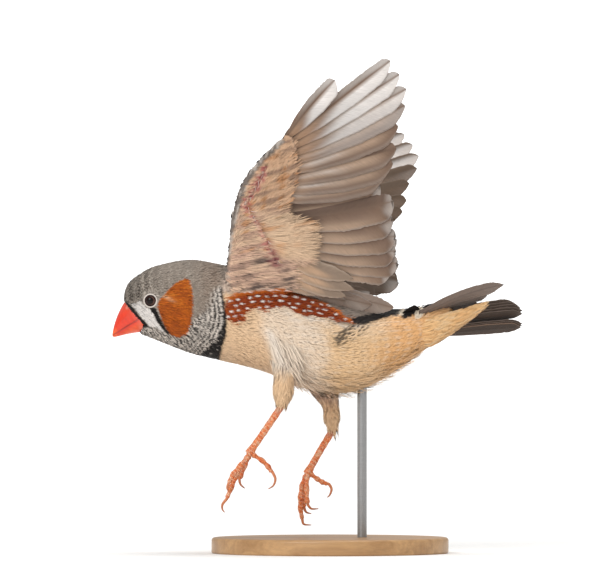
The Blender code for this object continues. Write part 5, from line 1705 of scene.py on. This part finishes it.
def growCoverts():
    for name, wing in wings.items():
        under = wingAxes(wing)[2]
        book = VaneBook()
        for row in flightRows:
            part = flight[row]
            count = len(part["tips"])
            roots, tips = [np.array(k) for k in part["roots"]], np.array([lifted(t, wing) for t in part["tips"]])
            layers = [(-1, tier, layer) for tier, layer in enumerate(coverts["tiers"])]
            if row != "tertials":
                layers.append((1, 0, coverts["soft"]))
            for side, tier, layer in layers:
                soft = coverts["end" if side > 0 else "upperEnd"]
                many = count if tier == 0 and side < 0 else int(count * 1.6)
                for i in range(many):
                    f = (i + 0.5 * (tier % 2)) / max(many - 1, 1)
                    if f > 1:
                        continue
                    tip = np.array([np.interp(f * (count - 1), np.arange(count), tips[:, k]) for k in (0, 1)])
                    root = between(roots, f)
                    reach = (layer["reach"][row] if side > 0 else layer["reach"]) * (0.92 + 0.16 * chance.random())
                    foot, point = between((root, tip), layer["start"]), between((root, tip), reach)
                    low, high = (side * layer["level"] * k - part["depth"] for k in (0.55, 1.0))
                    addVane(
                        book, wingPoint(wing, *foot, low), wingPoint(wing, *point, high), under,
                        between(part["widths"], f) * layer["width"], coverts["shape"], (8.0, 8.0), 0.45, 0.2,
                        0.1 * side,
                        covertColours(tier, side), columns=coverts["columns"], thickness=0.06, seed=400 + i, **soft,
                    )
        armpit = coverts["armpit"]
        for i, (root, tip) in enumerate(zip(armpit["roots"], armpit["tips"])):
            tip = lifted(tip, wing)
            addVane(
                book, wingPoint(wing, *root, 0.9), wingPoint(wing, *tip, armpit["level"] - 0.22 * i), under,
                armpit["width"],
                [(0, 0.35), (0.4, 1.0), (1, 0.7)], (7.0, 3.0), 0.45, 0.5, 0.0, covertColours(3, 1), steps=44,
                thickness=0.06, seed=450 + i, points=((0.3, 1.4), (0.35, 1.4)), fray=(0.08, 0.6),
            )
        book.finish(f"coverts_{name}", covertPlumage, "wing_plumage")


growCoverts()
print("coverts grown")


tail = {
    "width": 4.3, "cup": 0.7,
    "shape": [(0.0, 0.45), (0.3, 0.86), (0.6, 1.0), (1.0, 0.95)],
    "feathers": [  # angles to the left at root and tip, length, level in the stack, distance of the root
        (19.2, 18.1, 37.7, -0.85, 14.6), (18.9, 16.4, 35.9, -0.5, 14.6), (18.4, 13.2, 32.2, -0.15, 14.6),
        (16.6, 9.4, 28.8, 0.2, 14.6),
        (0.0, 0.1, 37.6, 1.3, 17.1), (-1.8, -1.6, 38.6, 1.1, 17.1), (-4.0, -3.2, 39.3, 0.9, 17.1),
        (-6.0, -4.6, 39.6, 0.7, 17.1),
        (-8.0, -6.2, 39.6, 0.5, 17.1), (-14.0, -10.2, 39.4, -0.6, 17.1), (-15.0, -11.0, 39.4, -0.8, 17.1),
        (-16.0, -11.7, 39.2, -1.0, 17.1),
    ],
    **palette(near="7b6c63", dark="463931", edge="8c7b70", shaft="2e2622", lowEdge="bd9c84"),
}
upperTail = {
    "rows": [  # how far along they end, and their angles to the left
        {"end": 15.0, "angles": (-26, -13, 0, 13, 24), "level": 1.25},
        {"end": 17.0, "angles": (-18, -8, 2, 12), "level": 1.8},
        {"end": 23.0, "angles": (-16, -8, -1), "level": 1.7}, {"end": 26.0, "angles": (-12, -6), "level": 1.9},
    ],
    "width": 3.2, "black": paint("1e1917"), "bar": paint("efe0c6"),
}


def tailColours(index):
    def colours(t, c, offset, front):
        place = np.stack([offset, t * 30, 0 * t + 5 * index], -1).reshape(-1, 3)
        streaks = wobble(place * (1.0, 0.1, 1), 0.8, 71).reshape(t.shape)
        base = tail["near"] if index < 4 else tail["dark"]
        tone = base * (1 + 0.13 * streaks)[..., None]
        tone = layered(
            tone,
            (tail["lowEdge"] if index == 11 else tail["edge"], 0.6 * ease(0.9, 1.0, np.abs(c))),
            (tail["edge"], 0.35 * ease(0.93, 1.0, t)),
        )
        return mixed(tone, tail["shaft"], 0.3 * np.exp(-(offset / 0.2) ** 2))

    return colours


def upperTailColours(barred):
    def colours(t, c, offset, front):
        centre = hump(t, 0.55, 0.07) + hump(t, 0.93, 0.06)
        bars = ease(0.45, 0.7, centre * (1 - ease(0.75, 1.0, np.abs(c)) * 0.6)) * barred
        return mixed(
            mixed(upperTail["black"], upperTail["black"] * 1.6, ease(0.3, 0.9, np.abs(c))), upperTail["bar"], bars,
        )

    return colours


def growTail():
    upper = tailAxes()[2]
    book = VaneBook()
    for i, (angle, tipAngle, reach, level, start) in enumerate(tail["feathers"]):
        a, b = math.radians(angle), math.radians(tipAngle)
        root = tailPoint(start * math.cos(a), start * math.sin(a), level)
        tip = tailPoint(reach * math.cos(b), reach * math.sin(b), level)
        addVane(
            book, root, tip, -upper, tail["width"], tail["shape"], (0, 0), 0.5, min(0.45 * i - 1.4, 0.0),
            tail["cup"], tailColours(i), steps=48,
            ragged=0.05, seed=500 + i, points=((0.14, 1.5), (0.18, 1.4)), fray=(0.06, 0.5),
        )
    book.finish("tail_feathers", tailPlumage, "tail_plumage", "tail")
    book = VaneBook()
    for k, row in enumerate(upperTail["rows"]):
        for i, angle in enumerate(row["angles"]):
            a = math.radians(angle)
            root = tailPoint(9.5 * math.cos(a), 9.5 * math.sin(a), row["level"] - 1.0)
            tip = tailPoint(row["end"] * math.cos(a), row["end"] * math.sin(a), row["level"] - 0.02 * abs(angle))
            addVane(
                book, root, tip, -upper, upperTail["width"], coverts["shape"], (0, 0), 0.5, 0.0, 0.2,
                upperTailColours(angle <= 0), steps=16,
                columns=coverts["columns"], thickness=0.08, ragged=0.06, seed=600 + i + 10 * k,
            )
    book.finish("upper_tail_coverts", covertPlumage, "tail_plumage")


growTail()
print("tail grown")


# Bill: two horny halves that meet along the line of the mouth.
bill = {
    "tip": np.array((-55.0, 0, 54.9)), "halfWidth": 3.7, "tipRadius": 0.22, "rings": 40, "sides": 64,
    "mouthFront": np.array((-54.9, 0, 55.2)), "mouthBack": np.array((-49.1, 0, 58.8)),
    "nostril": np.array((-50.9, 2.35, 62.0)),
    **palette(red="dc3412", base="e04a2c", tipColour="ee701e", line="9c2412", notch="f6b39a", seat="8a2418"),
    "mouthGap": 0.004,
}


def bodySide(points):
    # how far out the body's side lies at each point's height
    top, bottom, half, widest = (np.interp(points[:, 0], denseRows[:, 0], denseRows[:, k]) for k in (1, 2, 3, 4))
    middle = bottom + (top - bottom) * widest
    up = np.clip((points[:, 2] - middle) / np.where(points[:, 2] > middle, top - middle, middle - bottom), -1, 1)
    return half * (1 - np.abs(up) ** body["squareness"]) ** (1 / body["squareness"])


def billSurface():
    # rings from behind the seat to the tip
    brow, chin = body["billBrow"], body["billChin"]
    upward = unit(brow - chin)
    base = (brow + chin) / 2 + billAway * 0.1
    high = np.linalg.norm(brow - chin) / 2
    f = np.linspace(0, 1, bill["rings"])
    centre = base + (bill["tip"] - base) * f[:, None] + upward * (0.35 * np.sin(math.pi * f))[:, None]
    tall, wide = (between((bill["tipRadius"], size), (1 - f) ** 0.82) for size in (high, bill["halfWidth"]))
    # the ridge along the top is a little keeled
    up, across = np.cos(turns(bill["sides"])), np.sin(turns(bill["sides"]))
    across = np.sign(across) * np.abs(across) ** (1 + 0.18 * ease(0.4, 1.0, up))
    rings = centre[:, None] + upward * (tall[:, None] * up)[..., None]
    rings = rings + np.array((0, 1.0, 0)) * (wide[:, None] * across)[..., None]
    # behind its seat it flares out to the face, most at the corners of the mouth
    seat = rings[0]
    edge, side = billEdge(seat), np.abs(seat[:, 1])
    behind = []
    for g in np.linspace(1, 0, 7)[:-1]:
        place = seat - billAway * (np.maximum(edge + 0.3, 0.05) * g)[:, None]
        target = np.maximum(bodySide(place) - 0.1, side)
        scale = 1 + (target / np.maximum(side, 0.4) - 1) * np.clip(edge / 0.9, 0, 1) * g
        behind.append(place * np.stack([np.ones(len(seat)), np.clip(scale, 1, 2.0), np.ones(len(seat))], -1))
    return np.concatenate([np.array(behind), rings])


def mouthUp():
    # square to the line of the mouth, upward
    along = unit(bill["mouthBack"] - bill["mouthFront"])
    return np.array((-along[2], 0, along[0]))


def nostrilDistance(points):
    # from the nostril on the points' own side
    return np.linalg.norm(points * np.where(points[:, 1:2] < 0, (1, -1, 1), 1) - bill["nostril"], axis=1)


def billColours(points, f):
    b = bill
    fine, spot = wobble(points, 0.8, 81), nostrilDistance(points)
    below = -((points - b["mouthFront"]) @ mouthUp())
    tone = layered(
        b["red"],
        (b["base"], 0.7 * fade(0.05, 0.4, f) * ease(58, 62, points[:, 2])),
        (b["tipColour"], 0.75 * ease(0.7, 1.0, f + 0.05 * fine)),
        (b["tipColour"], 0.35 * ease(0.2, 1.4, below)),
        (b["line"], 0.7 * hump(below, 0, 0.16)),
        (b["notch"], 0.6 * fade(0.5, 1.0, spot)),
        # painted shade: the sunk middle of the nostril painted dark
        (b["seat"], 0.85 * fade(0.3, 0.5, spot)),
    )
    return np.clip(tone * (1 + 0.06 * fine)[:, None], 0.003, 1)


def buildBill():
    rings = billSurface()
    hornMaterial = mottledMaterial(
        "billHorn", 0.34, 700.0, 0.07, 0.12, Coat_Weight=0.25, Subsurface_Weight=0.12,
        Subsurface_Radius=(0.0008, 0.0003, 0.0002),
    )
    upNormal = mouthUp()
    seatMiddle = (body["billBrow"] + body["billChin"]) / 2
    for name, sign in (("bill_upper", 1.0), ("bill_lower", -1.0)):
        flat = rings.reshape(-1, 3)
        # the halves meet at the line of the mouth, and the lower one shuts just inside the upper
        push = np.maximum(bill["mouthGap"] - (flat - bill["mouthFront"]) @ upNormal * sign, 0)
        flat = flat + upNormal * sign * push[:, None]
        if sign < 0:
            flat = flat * (1, 0.965, 1)
        else:
            inward = unit(flat * (0, -1, 0) + np.array((0.3, 0, -0.1)))
            flat = flat + inward * (0.4 * fade(0.1, 0.55, nostrilDistance(flat)))[:, None]
        mesh = outwardMesh(name, *closedRings(flat.reshape(rings.shape)), weld=True)
        flat = readPoints(mesh)
        share = np.clip(
            1 - np.abs((flat - bill["tip"]) @ billAway) / abs((seatMiddle - bill["tip"]) @ billAway), 0, 1,
        )
        colourMesh(mesh, billColours(flat, share))
        mesh.set_sharp_from_angle(angle=math.radians(50))
        putPiece(f"horn_{name}", mesh, hornMaterial, "bill_red", name)


buildBill()
print("bill made")


eyes = {
    "radius": 1.86, "cornea": 0.14, "pupil": 0.84, "iris": 1.38, "rings": 41, "sides": 48,
    "lidRing": 1.62, "lid": 0.27, "lidOut": 1.2, "lidAround": 72, "lidSides": 20,
    **palette(
        irisColour="26130e", irisLight="6a4c42", rimColour="120a08", lidColour="d8cdc3", lidDark="6f665e",
        brown="2c130d",
    ),
}


def buildEyes():
    eyeMaterial = mottledMaterial(
        "eyeBall", 0.12, 1500.0, 0.1, 0.02, Coat_Weight=0.22, Coat_Roughness=0.02, Specular_IOR_Level=0.1,
    )
    lidMaterial = mottledMaterial("lidSkin", 0.6, 2600.0, 0.12, 0.6)
    e = eyes
    for side, name in ((-1, "left"), (1, "right")):
        outward, centre, up = eyeOutward(side), body["eye"] * (1, side, 1), np.array((0, 0, 1.0))
        across = np.cross(outward, up)
        polar, turn = np.linspace(0, math.pi, e["rings"]), turns(e["sides"])
        radius = e["radius"] + e["cornea"] * hump(polar, 0, 0.45)
        rings = (
            centre + outward * (radius * np.cos(polar))[:, None, None]
            + (across * np.cos(turn)[:, None] + up * np.sin(turn)[:, None])[None]
            * (radius * np.sin(polar))[:, None, None]
        )
        points, quads, caps = closedRings(rings[1:-1], rings[0, 0], rings[-1, 0])
        mesh = outwardMesh(f"eyeball_{name}", points, quads, caps)
        arm = points - centre
        reach = np.linalg.norm(arm - (arm @ outward)[:, None] * outward, axis=1)
        tone = layered(
            e["rimColour"],
            (e["irisColour"], ease(e["pupil"] - 0.08, e["pupil"] + 0.1, reach)),
            # a painted lit crescent on the rear side of the iris
            (e["irisLight"], 0.8 * ease(-0.6, 0.8, arm[:, 0]) * hump(reach, 1.0, 0.13)),
            (e["brown"], ease(1.08, 1.2, reach)),
            (e["rimColour"], ease(e["iris"] - 0.16, e["iris"] + 0.02, reach)),
        )
        colourMesh(mesh, np.where((arm @ outward > 0)[:, None], tone, e["rimColour"]))
        putPiece(f"eyeball_{name}", mesh, eyeMaterial, "eye", f"eye_{name}")
        # the ring of bare skin round the eye, dark at its inner edge
        a, s = np.meshgrid(turns(e["lidAround"]), turns(e["lidSides"]), indexing="ij")
        grain = 1 + 0.07 * np.sin(a * 17) + 0.05 * np.sin(a * 29 + 1)
        ringRadius = e["lidRing"] + e["lid"] * 0.9 * np.cos(s) * grain
        out = e["lidOut"] + e["lid"] * 0.8 * np.sin(s) * grain - 0.06 * np.cos(2 * a)
        lid = centre + outward * out[..., None] + (
            across * np.cos(a)[..., None] + up * np.sin(a)[..., None]
        ) * ringRadius[..., None]
        n, k = (e["lidAround"] - 1) * e["lidSides"], np.arange(e["lidSides"])
        after = (k + 1) % e["lidSides"]
        closing = np.stack([n + k, n + after, after, k], -1)
        mesh = outwardMesh(
            f"lid_{name}", lid.reshape(-1, 3), gridFaces(e["lidAround"], e["lidSides"], True), closing,
        )
        tone = mixed(e["lidColour"], e["lidDark"], 0.8 * ease(0.3, 0.9, np.cos(s)).ravel())
        colourMesh(mesh, mixed(tone, e["rimColour"], ease(0.45, 0.85, -np.cos(s)).ravel()))
        putPiece(f"lid_{name}", mesh, lidMaterial, "grey_plumage")


buildEyes()
print("eyes made")


clawSizes = {"thick": 0.4, "thin": 0.09, "steps": 24, "sides": 14, **palette(root="e08a5a", end="9a5a38")}


def buildClaws():
    material = mottledMaterial("clawHorn", 0.38, 900.0, 0.1, 0.15, Coat_Weight=0.2)
    steps, sides = clawSizes["steps"], clawSizes["sides"]
    s = np.linspace(0, 1, steps + 1)
    radii = between((clawSizes["thick"], clawSizes["thin"]), s ** 2.2)
    shares = np.concatenate([np.repeat(s, sides), [0, 1]])
    for side, leg in legs.items():
        for toe, line in leg["claws"].items():
            name = f"claw_{side}_{toe}"
            points, quads, caps = tubeThrough(smoothPath(line, steps), radii, sides, 0.8)
            mesh, _ = meshFrom(name, points, quads, caps)
            tone = mixed(clawSizes["root"], clawSizes["end"], shares * (0.8 + 0.2 * wobble(points, 0.5, 91)))
            colourMesh(mesh, np.clip(tone, 0.003, 1))
            putPiece(f"horn_{name}", mesh, material, "claw_horn", name)


buildClaws()
print("claws made")


# Bare line on the wing's underside, with the white quills that grow from it.
quills = {
    "bareLine": 34, "handLine": 17, "length": (0.6, 1.7), "radius": 0.05, **palette(white="f3e6df", pink="b8504f"),
}


def buildQuills():
    material = mottledMaterial("quillHorn", 0.5, 1500.0, 0.1, 0.2)
    s = np.linspace(0, 1, 7)
    for name, wing in wings.items():
        parts, tones = [], []
        for lineName in ("bareLine", "handLine"):
            line, count = np.array(wingPaint[lineName], float), quills[lineName]
            last = len(line) - 1
            for i in range(count):
                at = (i + 0.5) / count * last
                place = splineAt(line, np.array([at]))[0] + chance.normal(0, 0.38, 2)
                ends = splineAt(line, np.array([min(at + 0.05, last), max(at - 0.05, 0)]))
                ahead = unit(ends[0] - ends[1])
                angle = math.atan2(ahead[1], ahead[0]) + chance.normal(0.35, 0.4)
                size = chance.uniform(*quills["length"])
                path = wingPoint(
                    wing, place[0] + math.cos(angle) * size * s, place[1] + math.sin(angle) * size * s,
                    0.85 + 0.5 * s,
                )
                parts.append(tubeThrough(path, quills["radius"] * (1 - 0.6 * s) * chance.uniform(0.8, 1.3), 6))
                tones.append(np.tile(quills["pink" if chance.random() < 0.45 else "white"], (len(parts[-1][0]), 1)))
        mesh, _ = meshFrom(f"quills_{name}", *joined(parts))
        colourMesh(mesh, np.concatenate(tones))
        putPiece(f"quills_{name}", mesh, material, "wing_plumage")


buildQuills()
print("quills made")


# Stand: a turned wooden base and a brushed rod.
stand = {
    "radius": 30.0, "height": 4.0, "edge": 0.8, "rodX": 8.1, "rodRadius": 1.2, "rodTop": 47.5, "sides": 160,
    "wood": (paint("a57c50"), paint("c59b6b")), "steel": 0.36,
}


def woodMaterial():
    made, tree = newMaterial("standWood")
    stretched = node(tree, "ShaderNodeMapping", {"Vector": ownPlace(tree), "Scale": (0.06, 1.0, 1.0)}).outputs[0]
    grain = node(tree, "ShaderNodeTexNoise", {
        "Vector": stretched, "Scale": 260.0, "Detail": 6.0, "Roughness": 0.55, "Distortion": 0.6,
    })
    ramp = node(tree, "ShaderNodeValToRGB", {0: grain.outputs[0]})
    for stop, position, tone in zip(ramp.color_ramp.elements, (0.32, 0.68), stand["wood"]):
        stop.position, stop.color = position, (*tone, 1)
    mottle = placed(tree, mottleGroup, Place=stretched, Scale=1500.0, Contrast=0.12)
    rough = roughFrom(tree, mottle["Height"], 0.425, 0.15)
    finishMaterial(tree, ramp.outputs[0], mottle["Shade"], mottle["Height"], 0.25, rough, Coat_Weight=0.15)
    return made


def steelMaterial():
    made, tree = newMaterial("standSteel")
    stretched = node(tree, "ShaderNodeMapping", {"Vector": ownPlace(tree), "Scale": (1.0, 1.0, 14.0)}).outputs[0]
    mottle = placed(tree, mottleGroup, Place=stretched, Scale=500.0, Contrast=0.08)
    rough = roughFrom(tree, mottle["Height"], 0.375, 0.15)
    grey = (*[stand["steel"]] * 3, 1.0)
    finishMaterial(tree, grey, mottle["Shade"], mottle["Height"], 0.15, rough, distance=0.0001, Metallic=1.0)
    return made


def turned(name, outline, centreX, material, slot, replaced):
    # a body of revolution from (radius, height) pairs
    turn = turns(stand["sides"])
    rings = np.array([[(centreX + r * math.cos(a), r * math.sin(a), z) for a in turn] for r, z in outline])
    mesh, _ = meshFrom(name, *closedRings(rings, (centreX, 0, outline[0][1]), (centreX, 0, outline[-1][1])))
    mesh.set_sharp_from_angle(angle=math.radians(40))
    putPiece(name, mesh, material, slot, replaced)


def buildStand():
    r, h, e, rod = stand["radius"], stand["height"], stand["edge"], stand["rodRadius"]
    corner = [(r - e + e * math.cos(a), h - e + e * math.sin(a)) for a in np.radians([22, 45, 68])]
    outline = [(r - 0.3, 0.0), (r, 0.3), (r, 1.5), (r, h - e), *corner, (r - e, h), (r - 3, h), (2.4, h)]
    turned("turned_base", outline, 0.0, woodMaterial(), "stand_wood", "stand_base")
    outline = [(rod, h + 0.02), (rod, 20), (rod, stand["rodTop"])]
    turned("polished_rod", outline, stand["rodX"], steelMaterial(), "stand_steel", "stand_rod")


buildStand()
print("stand made")


# Floor, light and camera.
studio = {
    "centre": (-6.08, 67.6), "distance": 2500.0, "frameWidth": 154.9, "sensor": 36.0,
    "floor": paint("f7f6f4"), "floorReach": 6000, "sky": 0.45, "seenSky": 1.4,
    "suns": {"key": ((-0.4, -0.75, 0.6), 1.3), "top": ((0.1, 0.12, 1.0), 1.5)}, "softness": 36.0, "exposure": 0.15,
}


def addObject(name, data):
    made = bpy.data.objects.new(name, data)
    bird.objects.link(made)
    return made


def buildFloor():
    made, tree = newMaterial("paleFloor")
    mottle = placed(tree, mottleGroup, Place=ownPlace(tree), Scale=60.0, Contrast=0.01)
    finishMaterial(tree, (*studio["floor"], 1.0), mottle["Shade"], mottle["Height"], 0.05, 0.9)
    reach = studio["floorReach"]
    corners = np.array([(x, y, 0) for y in (-reach, reach) for x in (-reach, reach)], float)
    mesh, _ = meshFrom("floor", corners, gridFaces(2, 2))
    mesh.materials.append(made)
    addObject("floor", mesh)


def buildLight():
    world = bpy.data.worlds.new("studio")
    bpy.context.scene.world = world
    world.use_nodes = True
    tree, white = world.node_tree, (1.0, 1.0, 1.0, 1.0)
    sky = feed(tree, tree.nodes["Background"], {0: white, 1: studio["sky"]})
    seen = node(tree, "ShaderNodeBackground", {0: white, 1: studio["seenSky"]})
    direct = node(tree, "ShaderNodeLightPath").outputs["Is Camera Ray"]
    both = node(tree, "ShaderNodeMixShader", {0: direct, 1: sky.outputs[0], 2: seen.outputs[0]})
    tree.links.new(both.outputs[0], tree.nodes["World Output"].inputs["Surface"])
    for name, (place, power) in studio["suns"].items():
        light = bpy.data.lights.new(name, "SUN")
        light.angle, light.energy = math.radians(studio["softness"]), power
        addObject(name, light).rotation_euler = Vector(place).to_track_quat("Z", "Y").to_euler()


def buildCamera():
    scene, camera = bpy.context.scene, bpy.data.cameras.new("camera")
    camera.sensor_width = studio["sensor"]
    camera.lens = studio["sensor"] * studio["distance"] / studio["frameWidth"]
    camera.clip_start, camera.clip_end = 0.01, 20
    scene.camera = addObject("camera", camera)
    scene.camera.location = Vector((studio["centre"][0], -studio["distance"], studio["centre"][1])) * mm
    scene.camera.rotation_euler = (math.radians(90), 0, 0)
    scene.view_settings.view_transform = "Standard"
    scene.view_settings.exposure = studio["exposure"]


buildFloor()
buildLight()
buildCamera()
print("coat triangles:", sum(coatTriangles.values()), "largest:", max(coatTriangles.items(), key=lambda k: k[1]))
